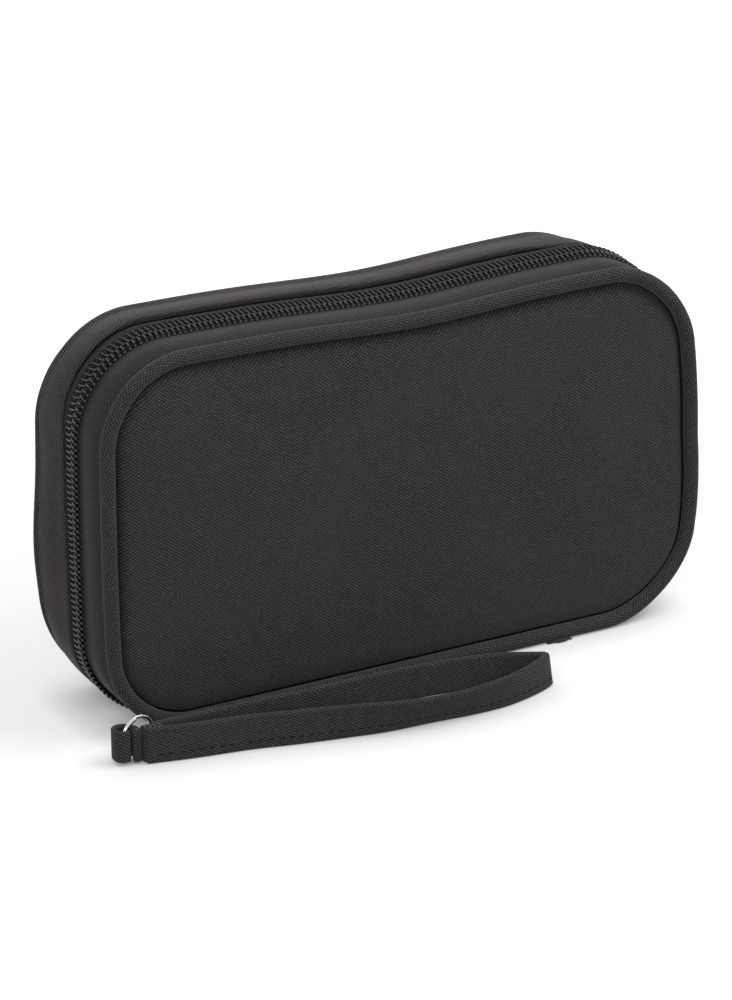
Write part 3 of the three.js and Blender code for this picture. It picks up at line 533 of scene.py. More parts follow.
def sweep(name, points, closed):
    """A tube through sections of points, with its cloth laid along and round it."""
    points = np.asarray(points, float)
    sections, count = points.shape[:2]
    faces = []
    last = sections if closed else sections - 1
    for i in range(last):
        faces += ring_faces(i * count, (i + 1) % sections * count, count)
    if not closed:
        faces.append(tuple(range(count)))
        faces.append(tuple((sections - 1) * count + j for j in range(count)))
    piece = add_mesh(name, points, faces)
    round_it = np.concatenate([[0], np.cumsum(np.linalg.norm(np.diff(points, axis=1), axis=2).mean(axis=0))])
    lay_cloth(piece, np.tile(round_it, sections), np.repeat(run_along(points.mean(axis=1)), count))
    face_out(piece)
    return piece


def sew(name, section, picked=None):
    """Sweeps a section of (y, outside) rows along the seam line, over all stations or a run of them."""
    section = np.asarray(section, float)
    points = case_points(section[..., 0], section[..., 1])
    return sweep(name, points if picked is None else points[picked], picked is None)


def piping(name, y, seed, sunk=0.0):
    """A soft tube along the seam line, a little uneven where its stitches pull it, and sunk along the top."""
    turns = np.arange(piping_sides) * math.tau / piping_sides
    middle = case_points([y], [-piping_radius])[:, 0]
    swell = 1 + sum(share * wobble(middle, size, seed + more) for size, share, more in piping_uneven)
    swell = (np.minimum(swell, 1) * piping_radius - sunk * faces_up)[:, None]
    section = np.stack([y + swell * np.cos(turns), -piping_radius + swell * np.sin(turns)], axis=-1)
    return sew(name, section)


piping_cloth = woven("piping_cloth", True, cloth_threads, math.radians(12), warm_share=0.15)
dress(piping("front_edge_piping", -front_depth, 11), piping_cloth, "front_half", "cloth", "front_piping")
dress(piping("back_edge_piping", back_depth, 12, rear_piping_sunk), piping_cloth, "back_half", "cloth",
      "back_piping")


# The zip tapes are narrow woven polyester with a fine lengthwise rib. The front one shows between piping and
# coil, and a thin line of the rear one shows behind the coil. Under the case they dip over the slider.
tape_level = 0.6
tape_thick = 0.8
tape_reach = 8.6
tail_tape_reach = 4.8
tape_gap = 0.9
slider_tape_gap = 1.6
chain_recess = 5
recess_full = math.radians(12)
recess_start = math.radians(30)
tail_angle = math.radians(33)
split_gap = 2.2
spine_half = 48
tuck_length = 5
slider_nose = 4.6
slider_play = 0.4
tape_near = -front_depth + piping_radius + seat
tape_belly = 0.28
groove_depth = 1.7  # how far the front tape dips beside the piping
level_start = -slider_nose - slider_play  # from here to the chain the front tape is level


def eased(share):
    """A share that sets off and ends gently, between 0 and 1."""
    share = np.clip(share, 0, 1)
    return share * share * (3 - 2 * share)


# How far the chain is pushed up at each station: fully along the bottom, and not at all past the corners.
recess_rise = eased((recess_start - station_share[:, 0] * math.pi / 2) / (recess_start - recess_full))
recess = np.where(on_bottom, 1, np.where(on_low_corner, recess_rise, 0.0))
strip_lift = 0.3 + 1.0 * faces_up  # how far the rear tape rises before it goes under the fold
strip_place = 5.2
strip_width = 1.2
chain_gap = np.where(recess > 0.999, slider_tape_gap, tape_gap)
past_spine = along_flat >= spine_half - 0.01
bottom_left = np.nonzero((station_kind[:, 0] == 0) & past_spine)[0]
bottom_right = np.nonzero((station_kind[:, 0] == 8) & past_spine)[0]
tape_run = np.arange(bottom_left[0], bottom_right[-1] + 1)
split_share = tail_angle / (math.pi / 2)
left_split = half_steps + round(split_share * corner_steps)
right_split = station_count - left_split
split_steps = round(split_gap / station_step)
rear_run = np.arange(left_split + split_steps, right_split - split_steps + 1)
tuck_start = round(spine_half - tuck_length)
left_tail_run = np.arange(tuck_start, left_split + 1)
right_tail_run = np.arange(right_split, station_count - tuck_start + 1)

tape_cloth = woven("tape_cloth", True, (0.25, 1.05), math.radians(-12), dark=(0.014, 0.0145, 0.014, 1),
                   light=(0.066, 0.070, 0.066, 1), warm_share=0.08, lint=0.5, sheen=0.15, roughness=0.8)


def layered(outer, thick):
    """Closes a section: rows of (y, outside) on the outer face, and the same rows a thickness further in."""
    inner = outer[:, ::-1].copy()
    inner[..., 1] -= thick
    return np.concatenate([outer, inner], axis=1)


chain_level = -tape_level - chain_recess * recess


def front_tape_section():
    shares = np.linspace(0, 1, 9)
    slope_y = np.tile(tape_near + (level_start - tape_near) * shares, (station_count, 1))
    slope = -tape_level + (chain_level + tape_level)[:, None] * shares
    slope = slope + tape_belly * np.sin(math.pi * shares) ** 0.7 - groove_depth * (1 - shares) ** 4
    flat_shares = np.linspace(0, 1, 4)[1:]
    flat_y = level_start + (-chain_gap - level_start)[:, None] * flat_shares
    flat = np.repeat(chain_level[:, None], len(flat_shares), axis=1)
    outer = np.stack([np.hstack([slope_y, flat_y]), np.hstack([slope, flat])], axis=-1)
    return layered(outer, tape_thick)


def rear_tape_section(reach):
    shares = np.linspace(0, 1, 13)
    y = chain_gap[:, None] + (reach - chain_gap)[:, None] * shares
    rise = (strip_lift * (1 - recess))[:, None] * np.exp(-(((y - strip_place) / strip_width) ** 2))
    outer = np.stack([y, chain_level[:, None] + rise], axis=-1)
    return layered(outer, tape_thick)


tapes = [
    ("front_tape", front_tape_section(), tape_run, "front_half", "front_zip_tape"),
    ("rear_tape", rear_tape_section(tape_reach), rear_run, "back_half", "back_zip_tape"),
    ("left_tape_end", rear_tape_section(tail_tape_reach), left_tail_run, "front_half", "zip_tail_tape_left"),
    ("right_tape_end", rear_tape_section(tail_tape_reach), right_tail_run, "front_half",
     "zip_tail_tape_right"),
]
for tape_name, tape_section, tape_stations, tape_body, tape_node in tapes:
    dress(sew(tape_name, tape_section, tape_stations), tape_cloth, tape_body, "tape", tape_node)


# The zip chain is a nylon coil on each tape: one thick glossy thread wound flat, with a filler cord inside it
# and a row of stitches over it. The heads of the two coils pass each other half a pitch apart.
coil_pitch = 1.56
coil_wire = 0.31  # radius of the thread
coil_reach = 3.7
coil_cross = 0.35
coil_height = 1.2
coil_lift = 0.06  # over the tape
coil_across_curve = 0.8  # under 1, the coil is squarer than an ellipse
coil_rise_curve = 0.75
coil_steps = 18
coil_sides = 8
cord_radius = 0.25
row_radius = 0.16
row_place = 0.74  # share of the coil's reach
row_sunk = 0.2
row_rise = 0.16
chain_reach = 0.6  # how far to each side a point's direction is taken from
slider_place = -57.8
slider_length = 11
slider_travel = 8.5
slider_fade = 3
slider_squeeze = 0.09  # share by which the coils are narrower where the slider runs


def hard_finish(name, dark, light, grains, roughness, strength, relief, scratches=None, metallic=0.0):
    """A glossy surface. Its colour and roughness vary in grains, and its relief follows them or scratches."""
    made = bpy.data.materials.new(name)
    shading = Shading(made)
    place = shading.add("ShaderNodeTexCoord", {}).outputs["Object"]
    grain = shading.noise(place, *grains)
    height = grain
    if scratches:
        stretched = shading.add("ShaderNodeVectorMath", {0: place, 1: scratches}, operation="MULTIPLY")
        height = shading.noise(stretched.outputs[0], 1.0, 3.0)
    bump = shading.add("ShaderNodeBump", {"Height": height, "Strength": strength, "Distance": relief * mm})
    shading.surface({"Base Color": shading.blend(grain, dark, light), "Metallic": metallic,
                     "Roughness": shading.ramp(grain, *roughness), "Normal": bump.outputs[0]})
    return made


coil_nylon = hard_finish("coil_nylon", (0.005, 0.0055, 0.0055, 1), (0.018, 0.018, 0.019, 1), (900, 3.0),
                         (0, 1, 0.3, 0.46), 0.35, 0.05)
thread_black = woven("thread_black", True, (0, 2.6), math.radians(50), dark=(0.003, 0.003, 0.0035, 1),
                     light=(0.012, 0.0115, 0.0115, 1), warm_share=0, lint=0, sheen=0)

chain_line = case_points(np.zeros((station_count, 1)), chain_level[:, None])[:, 0]
chain_line = chain_line[tuck_start:station_count - tuck_start + 1]
chain_lengths = run_along(chain_line)
chain_x = chain_line[:, 0]
chain_tilt = (0.12 * faces_up - 0.1 * faces_left)[tuck_start:station_count - tuck_start + 1]
coil_from = float(chain_lengths[np.argmin(np.abs(chain_x[:80] - (slider_place - slider_length / 2)))])
coil_to = chain_lengths[-1] - coil_from


def unit(ways):
    """Directions of length 1."""
    return ways / np.linalg.norm(ways, axis=-1, keepdims=True)


def on_chain(distance):
    """Points of the chain's line."""
    return np.stack([np.interp(distance, chain_lengths, chain_line[:, k]) for k in range(3)], axis=-1)


def chain_point(distance, y, height):
    """Points over the tapes: the distance along the chain, the place across it and the height over it."""
    distance = np.asarray(distance, float)
    along = unit(on_chain(distance + chain_reach) - on_chain(distance - chain_reach))
    out = np.stack([-along[..., 2], np.zeros_like(distance), along[..., 0]], axis=-1)
    moved = on_chain(distance) + out * np.asarray(height, float)[..., None]
    moved[..., 1] += y
    return moved


def tube(name, line, radius, sides):
    """A round tube along a line of points."""
    along = unit(np.gradient(line, axis=0))
    side = np.cross(along, [0.0, 0.0, 1.0] if abs(along[0, 2]) < 0.9 else [0.0, 1.0, 0.0])
    frames = [side[0] / np.linalg.norm(side[0])]
    for direction in along[1:]:
        carried = frames[-1] - direction * np.dot(frames[-1], direction)
        frames.append(carried / np.linalg.norm(carried))
    side = np.array(frames)
    up = np.cross(along, side)
    turns = np.arange(sides) * math.tau / sides
    ring = side[:, None] * np.cos(turns)[None, :, None] + up[:, None] * np.sin(turns)[None, :, None]
    return sweep(name, line[:, None] + ring * radius, False)


def coil(name, side, start, end):
    """One coil between two distances along the chain. Side is -1 on the front tape and 1 on the rear one."""
    half = (coil_reach + coil_cross) / 2 - coil_wire
    middle = coil_reach - coil_wire - half
    turns_from = math.ceil(start / coil_pitch)
    turns_to = math.floor(end / coil_pitch)
    turn = np.linspace(turns_from, turns_to, (turns_to - turns_from) * coil_steps + 1)
    angle = turn * math.tau
    across = np.sign(np.cos(angle)) * np.abs(np.cos(angle)) ** coil_across_curve
    rise = (coil_height - 2 * coil_wire) / 2
    up = np.sign(np.sin(angle)) * np.abs(np.sin(angle)) ** coil_rise_curve
    height = coil_lift + coil_wire + rise + rise * up
    distance = (turn + (0.5 if side > 0 else 0)) * coil_pitch
    in_slider = 1 - np.clip((distance - coil_from - slider_travel) / slider_fade, 0, 1)
    y = side * (middle + half * across) * (1 - slider_squeeze * in_slider)
    line = chain_point(distance, y, height + np.interp(distance, chain_lengths, chain_tilt) * y)
    return tube(name, line, coil_wire, coil_sides)


def coil_stitches(name, side, start, end):
    """The filler cord inside a coil, and the row of thread that rises over each bar."""
    distance = np.linspace(start, end, int((end - start) / coil_pitch * 8))
    middle = (coil_reach - coil_cross) / 2
    tilt = np.interp(distance, chain_lengths, chain_tilt) * side
    core = chain_point(distance, side * middle, coil_lift + coil_height / 2 + tilt * middle)
    place = coil_reach * row_place
    lift = coil_lift + coil_height - row_sunk + row_rise * np.sin(distance / coil_pitch * math.tau)
    row = chain_point(distance, side * place, lift + tilt * place)
    return [tube(name + "_cord", core, cord_radius, 6), tube(name + "_row", row, row_radius, 6)]


def join_pieces(name, parts):
    """One object of several."""
    made = bmesh.new()
    for part in parts:
        made.from_mesh(part.data)
    mesh = bpy.data.meshes.new(name)
    made.to_mesh(mesh)
    made.free()
    piece = put(name, mesh)
    for part in parts:
        bpy.data.objects.remove(part)
    return piece


def distance_of(station):
    return float(chain_lengths[station - tuck_start])


coil_parts = [
    ("front_coil", -1, coil_from, coil_to, "front_half", "front_zip_teeth"),
    ("rear_coil", 1, distance_of(rear_run[0]), distance_of(rear_run[-1]), "back_half", "back_zip_teeth"),
    ("left_end_coil", 1, coil_from, distance_of(left_split), "front_half", "zip_tail_teeth_left"),
    ("right_end_coil", 1, distance_of(right_split), coil_to, "front_half", "zip_tail_teeth_right"),
]
for coil_name, coil_side, coil_start, coil_end, coil_body, coil_node in coil_parts:
    dress(coil(coil_name, coil_side, coil_start, coil_end), coil_nylon, coil_body, "nylon", coil_node)
    sewn = coil_stitches(coil_name + "_part", coil_side, coil_start, coil_end)
    dress(join_pieces(coil_name + "_thread", sewn), thread_black, coil_body, "tape")


# The gusset is the deep side wall behind the zip, a long strip of the same cloth. Its front edge is folded
# back over the rear tape and sewn, and it pulls in small puckers at both seams.
fold_fade = np.clip((70 - case_points([0], [0])[:, 0, 0]) / 25, 0, 1)  # it comes down at the top's right end
fold_raise = 0.5 + 1.5 * faces_up * fold_fade
fold_back = -0.3 + 1.7 * faces_up * fold_fade  # how far behind its plain place the fold's edge lies
lip_reach = 1.8  # how far the cloth goes over the rear piping along the top
lip_lift = 0.14
lip_tuck = 0.4
gusset_belly = 0.32
gusset_pucker_size = 6
gusset_pucker = 0.16
hinge_fold = 3
gusset_end = back_depth - piping_radius - seat
spine_thick = 1

corner_rise = np.minimum(station_share[:, 0] / split_share, 1)
raised = np.where(on_bottom, 0, np.where(on_low_corner, corner_rise, 1.0))
hinged = on_bottom & (along_flat <= spine_half + 0.01)


def gusset_section():
    start = np.where(hinged, hinge_gap + hinge_fold, fold_place + fold_back * raised)
    wide = tape_reach + seat
    under = -seat * raised - cloth_thick * (1 - raised)
    lift = fold_raise * raised
    rows_y = []
    rows_out = []

    def row(y, outside):
        rows_y.append(np.broadcast_to(y, (station_count,)).astype(float))
        rows_out.append(np.broadcast_to(outside, (station_count,)).astype(float))

    for share in (1, 0.75, 0.5, 0.25):
        row(gusset_end + share * (1 + lip_reach * faces_up),
            share * share * (lip_lift * faces_up - lip_tuck * (1 - faces_up)))
    for share in np.linspace(0, 1, 10):
        y = gusset_end + (wide - gusset_end) * share
        belly = gusset_belly * math.sin(math.pi * share) + fold_raise * share ** 1.4
        places = case_points([y], [0])[:, 0]
        pucker = gusset_pucker * wobble(places, gusset_pucker_size, 21) * (0.3 + abs(share - 0.5))
        row(y, (belly + pucker) * raised)
    edge = cloth_thick / 2 * raised + (lift - under) / 2 * (1 - raised)
    for share in (0.35, 0.7):
        row(wide + (start + edge - wide) * share, lift)
    for turn in np.linspace(0, math.pi, 7):
        row(start + edge - edge * np.sin(turn), lift - edge + edge * np.cos(turn))
    for share in (0.5, 1):
        row(start + edge + (wide - start - edge) * share, (lift - 2 * edge) * (1 - share) + under * share)
    row(wide + cloth_thick, -cloth_thick)
    row(gusset_end, -cloth_thick)
    return np.stack([np.stack(rows_y, axis=-1), np.stack(rows_out, axis=-1)], axis=-1)


gusset_cloth = woven("gusset_cloth", True, cloth_threads, bias, warm_share=0.75)
gusset = sew("gusset", gusset_section())
dress(gusset, gusset_cloth, "back_half", "cloth", "back_gusset")


# The spine is the strip of cloth under the case at which it folds open. It is of the same woven polyester,
# sewn to both halves along its long edges.
spine_steps = 48
spine_end = hinge_gap + 2.7


def spine():
    xs = np.linspace(-spine_half, spine_half, spine_steps + 1)
    near = np.linspace(tape_near, -0.9, 8)
    middle = np.linspace(-0.6, 0.6, 9)
    ys = np.concatenate([near, middle, [0.9, spine_end]])
    outer = [(y, 0.02) for y in ys]
    inner = [(y, spine_thick - 0.05) for y in ys[::-1]]
    section = np.array(outer + inner)
    points = np.zeros((len(xs), len(section), 3))
    points[..., 0] = xs[:, None]
    points[..., 1] = section[:, 0] + zip_plane
    points[..., 2] = section[:, 1]
    return sweep("spine", points, False)


seam_cloth = woven("seam_cloth", True, cloth_threads)
spine_cloth = spine()
spine_cloth.data.materials.append(seam_cloth)
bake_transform(spine_cloth)
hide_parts("front_spine")


# A crumpled end of the zip tape shows under the piping at the right end of the spine. It is the same woven
# tape, cut off behind the seam, and has faded to brown.
tape_end_from = 41.2
tape_end_to = 48.6
tape_end_place = -10.3
tape_end_width = 1.35
tape_end_thick = 0.8


def crumpled_end():
    xs = np.linspace(tape_end_from, tape_end_to, 34)
    turns = np.arange(14) * math.tau / 14
    points = []
    for i, x in enumerate(xs):
        share = i / (len(xs) - 1)
        full = math.sin(math.pi * min(max(share, 0.04), 0.96)) ** 0.4
        lump = 1 + 0.35 * noise.noise(Vector((x * 0.9, 3.1, 0.4)))
        middle = tape_end_place + 0.5 * noise.noise(Vector((x * 0.6, 9.2, 1.7)))
        height = tape_end_thick * full * lump
        width = tape_end_width * full * lump
        points.append([(x, middle + width * math.cos(turn), height * (1 + math.sin(turn)) / 2 + 0.03)
                       for turn in turns])
    return sweep("tape_end", points, False)


faded_tape = woven("faded_tape", True, (0, 1.2), bias, dark=(0.006, 0.005, 0.0045, 1),
                   light=(0.085, 0.062, 0.052, 1), warm_share=0.5, lint=0.2)
dress(crumpled_end(), faded_tape, "front_half", "tape")


# The rear panel is of the same cloth as the front one, and flatter. Inside each panel lies a padding board of
# foam, and on that a smooth woven lining, whose edges go under the seam bindings.
foam_thick = 3
lining_thick = 0.6
lining_inset = 3.6  # the edges of the linings go under the seam bindings
back_level = back_depth + seat

lining_look = dict(dark=(0.016, 0.016, 0.017, 1), light=(0.034, 0.034, 0.036, 1), warm_share=0, lint=0.2,
                   relief=0.03, sheen=0.35, roughness=0.6)
lining_cloth = woven("lining_cloth", False, (1.4, 1.4), **lining_look)
foam_grey = woven("foam_grey", False, (0.5, 0.5), dark=(0.05, 0.05, 0.05, 1), light=(0.09, 0.09, 0.09, 1),
                  warm_share=0, lint=0, relief=0.1, sheen=0, roughness=1)

back_cover = panel("back_panel", back_level, 1, panel_inset, 1, back_crown, crease_depth, cloth_thick, 2)
dress(back_cover, panel_cloth, "back_half", "cloth", "back_cover")

front_foam_level = front_level + cloth_thick + seat
back_foam_level = back_level - cloth_thick - seat
board_inset = panel_inset + foam_inset
front_foam = panel("front_padding", front_foam_level, -1, board_inset, 0, front_crown, foam_crease,
                   foam_thick, 1, flat_back=True)
back_foam = panel("back_padding", back_foam_level, 1, board_inset, 1, back_crown, foam_crease, foam_thick,
                  2, flat_back=True)
dress(front_foam, foam_grey, "front_half", "foam", "front_foam")
dress(back_foam, foam_grey, "back_half", "foam", "back_foam")

front_lining_level = front_foam_level + foam_thick + seat
back_lining_level = back_foam_level - foam_thick - seat
front_lining = panel("front_inside", front_lining_level, -1, lining_inset, 0, 0, 0, lining_thick, 3)
back_lining = panel("back_inside", back_lining_level, 1, lining_inset, 1, 0, 0, lining_thick, 4)
dress(front_lining, lining_cloth, "front_half", "lining", "front_lining")
dress(back_lining, lining_cloth, "back_half", "lining", "back_lining")


# Inside, the raw seams are bound in ribbed tape, which is folded over them and sewn. The rear wall has its
# own lining, a strip of the same smooth cloth.
binding_reach = 6
binding_thick = 1.5
binding_level = -tape_level - tape_thick - seat
front_binding_thick = panel_inset - seat + binding_level

ribbed_look = dict(dark=(0.008, 0.008, 0.009, 1), light=(0.032, 0.032, 0.034, 1), warm_share=0, lint=0.1,
                   sheen=0.3, roughness=0.6)
ribbed_tape = woven("ribbed_tape", True, (0, 1.4), **ribbed_look)


def band_section(near, far, outside, thick, steps=5):
    """A strip with round long edges."""
    soft = min(thick / 2, 0.5)
    rows = [(y, outside) for y in np.linspace(near + soft, far - soft, steps)]
    rows += [(far - soft * 0.3, outside - soft * 0.3), (far, outside - soft), (far, outside - thick + soft),
             (far - soft * 0.3, outside - thick + soft * 0.3)]
    return rows + [(near + far - y, 2 * outside - thick - out) for y, out in rows]


binding_run = np.nonzero(recess == 0)[0]
front_binding = sew("front_seam_binding", band_section(tape_near, tape_near + binding_reach, binding_level,
                    front_binding_thick), binding_run)
dress(front_binding, ribbed_tape, "front_half", "elastic", "front_binding")
wall_end = back_lining_level - lining_thick - seat
wall_lining = sew("wall_lining", band_section(fold_place, wall_end, binding_level, lining_thick, 7))
dress(wall_lining, woven("lining_strip", True, (1.4, 1.4), **lining_look), "back_half", "lining",
      "gusset_lining")
back_binding = sew("back_seam_binding", band_section(wall_end - binding_reach, wall_end,
                   binding_level - lining_thick - seat, binding_thick))
dress(back_binding, ribbed_tape, "back_half", "elastic", "back_binding")


# The net pocket of the front half holds papers and strips. It is a fine net of crossing threads, sewn in at
# the sides and below, with a ribbed elastic hem along its mouth.
net_top = 56
net_stand = 2.6
net_thick = 0.6
net_pitch = 1.9
net_thread = 0.17

net_level = front_lining_level + lining_thick + net_stand
net_back = net_level + net_thick
dip_share = (net_back - tape_near) / (level_start - tape_near)


def net_outline():
    """The pocket's lower outline: the binding at the sides and the dipping tape at the bottom."""
    x, z = (value[:, 0] for value in seam_places(0))
    out_x, out_z = outward(x, z)
    inset = np.maximum(panel_inset, tape_level + tape_thick + chain_recess * recess * dip_share + seat)
    return np.stack([x - out_x * inset, z - out_z * inset], axis=-1)


def net_lines():
    """Crossing threads in two slants, each as a run of points inside the outline."""
    outline = net_outline()
    low = outline[outline[:, 1] < net_top + 1]
    order = np.argsort(low[:, 0])
    floor_x = low[order, 0]
    floor_z = low[order, 1]
    left = floor_x[0]
    right = floor_x[-1]
    lines = []
    for slant in (-1, 1):
        start = left - net_top + net_pitch / 2 * (slant > 0)
        while start < right + net_top:
            zs = np.arange(2, net_top + 0.01, 1.0)
            xs = start + slant * zs * 0.8
            lowest = np.interp(xs, floor_x, floor_z, left=1e3, right=1e3)
            keep = zs > lowest
            if keep.sum() > 2:
                x = xs[keep]
                z = zs[keep]
                y = np.full(len(x), net_level + net_thick / 2 + slant * net_thread * 0.6 + zip_plane)
                lines.append(np.stack([x, y, z], axis=-1))
            start += net_pitch
    return lines


net_threads = join_pieces("net_pocket", [tube("net_thread", line, net_thread, 4) for line in net_lines()])
dress(net_threads, ribbed_tape, "front_half", "elastic", "mesh_pocket")


def strip_box(name, low, high, soft):
    """A soft rectangular strip with rounded edges, between two corners."""
    low = np.asarray(low, float)
    high = np.asarray(high, float)
    corners = [(x, y, z) for x in (low[0], high[0]) for y in (low[1], high[1]) for z in (low[2], high[2])]
    faces = [(0, 1, 3, 2), (4, 6, 7, 5), (0, 4, 5, 1), (2, 3, 7, 6), (0, 2, 6, 4), (1, 5, 7, 3)]
    piece = add_mesh(name, corners, faces)
    with reworked(piece.data) as made:
        bmesh.ops.bevel(made, geom=made.edges[:], offset=soft * mm, segments=3, affect="EDGES", profile=0.5)
    face_out(piece)
    return piece


hem_low, hem_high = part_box("pocket_hem")
hem = strip_box("net_hem", hem_low / mm, hem_high / mm, 0.5)
dress(hem, woven("ribbed_plain", False, (0, 1.2), **ribbed_look), "front_half", "elastic", "pocket_hem")


# Three bands of ribbed elastic webbing in the back half hold the meter, the strip vial and the lancing pen.
# Each is sewn down at both feet and stands off the lining between them.
band_middle = 51
band_thick = 1
band_foot = 4
band_steps = 40
arch_fullness = 0.6
bands = [("meter_holder", "meter_band", 9), ("vial_holder", "vial_loop", 11), ("pen_holder", "pen_loop", 10)]


def elastic_band(name, node, rise):
    """An arch of elastic between two flat feet, as wide as its CAD node."""
    low, high = (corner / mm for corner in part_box(node))
    middle = (low.x + high.x) / 2
    span = high.x - low.x - 2 * band_foot
    face = wall_end + zip_plane
    shares = np.linspace(0, 1, band_steps + 1)
    xs = np.concatenate([[low.x], middle + span * (shares - 0.5), [high.x]])
    lift = np.concatenate([[0], rise * np.sin(math.pi * shares) ** arch_fullness, [0]])
    along = unit(np.stack([np.gradient(xs), -np.gradient(lift)], axis=-1))
    points = []
    for x, height, direction in zip(xs, lift, along):
        outer = np.array([x, face - height])
        inner = outer + np.array([direction[1], -direction[0]]) * band_thick
        section = [(outer, share) for share in np.linspace(-1, 1, 9)]
        section += [(inner, share) for share in np.linspace(1, -1, 9)]
        points.append([(*place, band_middle + share * (high.z - low.z) / 2) for place, share in section])
    dress(sweep(name, points, False), ribbed_tape, "back_half", "elastic", node)


for band_name, band_node, band_rise in bands:
    elastic_band(band_name, band_node, band_rise)


# The wrist strap stands on edge: a strip of the cloth folded double and stitched along its lower edge. It
# runs from its sewn joint along the front, turns sharply at the right and comes back behind.
strap_left = -92.5
strap_length = 119.6
strap_near = -front_depth - 10.7
strap_bow = 20.6
strap_thick = 1.8
strap_left_height = 9.8
strap_right_height = 9.4
strap_lean = 3.4  # how far the front leg's upper edge leans out in its middle
lean_place = -9
lean_spread = 22
fold_spread = 1.6  # how far the foot of the sharp turn stands out
fold_reach = 6
strap_line_shares = [
    (0.06, 0.19), (0.16, 0.33), (0.287, 0.47), (0.38, 0.62), (0.477, 0.75), (0.575, 0.865),
    (0.684, 0.91), (0.792, 0.966), (0.869, 0.95), (0.945, 0.83), (0.985, 0.70), (0.992, 0.65),
    (0.982, 0.61), (0.9, 0.37), (0.783, 0.225), (0.658, 0.146), (0.481, 0.13), (0.373, 0.1),
    (0.188, 0.08), (0.08, 0.07),
]
strap_steps = 12  # between two points
stitch_height = 2.5
stitch_pitch = 2.6
stitch_length = 1.5
stitch_radius = 0.17
stitch_margin = 3.0  # at both ends of the strap
stitch_sunk = 0.03


def smooth_line(points, steps):
    """A centripetal curve through points in the plane, with the given steps between two of them."""
    points = np.asarray(points, float)
    padded = np.vstack([2 * points[0] - points[1], points, 2 * points[-1] - points[-2]])
    line = []
    for i in range(len(points) - 1):
        p0, p1, p2, p3 = padded[i:i + 4]
        t0, t1, t2 = (max(np.linalg.norm(b - a) ** 0.5, 1e-6) for a, b in ((p0, p1), (p1, p2), (p2, p3)))
        start = ((p1 - p0) / t0 - (p2 - p0) / (t0 + t1) + (p2 - p1) / t1) * t1
        end = ((p2 - p1) / t1 - (p3 - p1) / (t1 + t2) + (p3 - p2) / t2) * t1
        for t in np.arange(steps) / steps:
            line.append(p1 + start * t + (3 * (p2 - p1) - 2 * start - end) * t ** 2
                        + (2 * (p1 - p2) + start + end) * t ** 3)
    line.append(points[-1])
    return np.array(line)


def upright_strip(name, line, thick, heights, edge=10, leans=None, spreads=None, foot=0.0):
    """A strip on edge along a line in the plane, with a rounded section. Leans move its upper edge across,
    and spreads move its foot along X. Foot is the height of its lower edge."""
    leans = np.zeros(len(line)) if leans is None else leans
    spreads = np.zeros(len(line)) if spreads is None else spreads
    along = unit(np.gradient(line, axis=0))
    side = np.stack([-along[:, 1], along[:, 0]], axis=-1)
    half = thick / 2
    turns = np.linspace(0, math.pi, edge)
    section = [(half * math.cos(turn), 1, half * 0.8 * math.sin(turn) - half * 0.8) for turn in turns]
    down = np.linspace(0.9, 0.1, 9)
    section += [(-half, share, 0) for share in down]
    section += [(-half * math.cos(turn), 0, half * 0.8 - half * 0.8 * math.sin(turn)) for turn in turns]
    section += [(half, share, 0) for share in down[::-1]]
    points = []
    for i, place in enumerate(line):
        height = heights[i]
        row = []
        for across, share, drop in section:
            x, y = place + side[i] * (across - leans[i] * share)
            row.append((x + spreads[i] * (1 - share), y, foot + share * (height - foot) + drop))
        points.append(row)
    return sweep(name, points, False)


strap_path = (strap_left, strap_near) + np.array(strap_line_shares) * (strap_length, -strap_bow)
strap_path = smooth_line(strap_path, strap_steps) + np.array([0, zip_plane])
strap_fold = int(np.argmax(strap_path[:, 0]))
strap_leans = strap_lean * np.exp(-(((strap_path[:, 0] - lean_place) / lean_spread) ** 2))
strap_leans[strap_fold:] = 0
strap_run = run_along(strap_path)
strap_spreads = fold_spread * np.exp(-(((strap_run - strap_run[strap_fold]) / fold_reach) ** 2))
height_share = eased((strap_path[:, 0] - strap_left) / strap_length / 0.5)
strap_high = strap_left_height + (strap_right_height - strap_left_height) * height_share
strap_high = np.sqrt(strap_high ** 2 - strap_leans ** 2)
strap_cloth = woven("strap_cloth", True, cloth_threads, math.radians(6))
strap = upright_strip("wrist_strap_cloth", strap_path, strap_thick, strap_high, leans=strap_leans,
                      spreads=strap_spreads)
dress(strap, strap_cloth, "strap", "cloth", "wrist_strap")

joint_start = 6.6
joint_length = 5.6
joint_depth = 3.7
wrap_start = 3.9
wrap_length = 2.4
joint_back = strap_near - strap_thick / 2 + zip_plane
joint_front = joint_back - joint_depth
joint_left = strap_left + joint_start
wrap_left = strap_left + wrap_start
joint = strip_box("strap_joint", (joint_left, joint_front + 0.9, 0.05),
                  (joint_left + joint_length, joint_back, strap_left_height - 0.3), 0.6)
wrap = strip_box("strap_wrap", (wrap_left, joint_front + 1.2, 0.55),
                 (wrap_left + wrap_length, joint_front + 2.6, strap_left_height - 0.2), 0.55)
dress(joint, panel_cloth, "strap", "cloth")
dress(wrap, panel_cloth, "strap", "cloth")


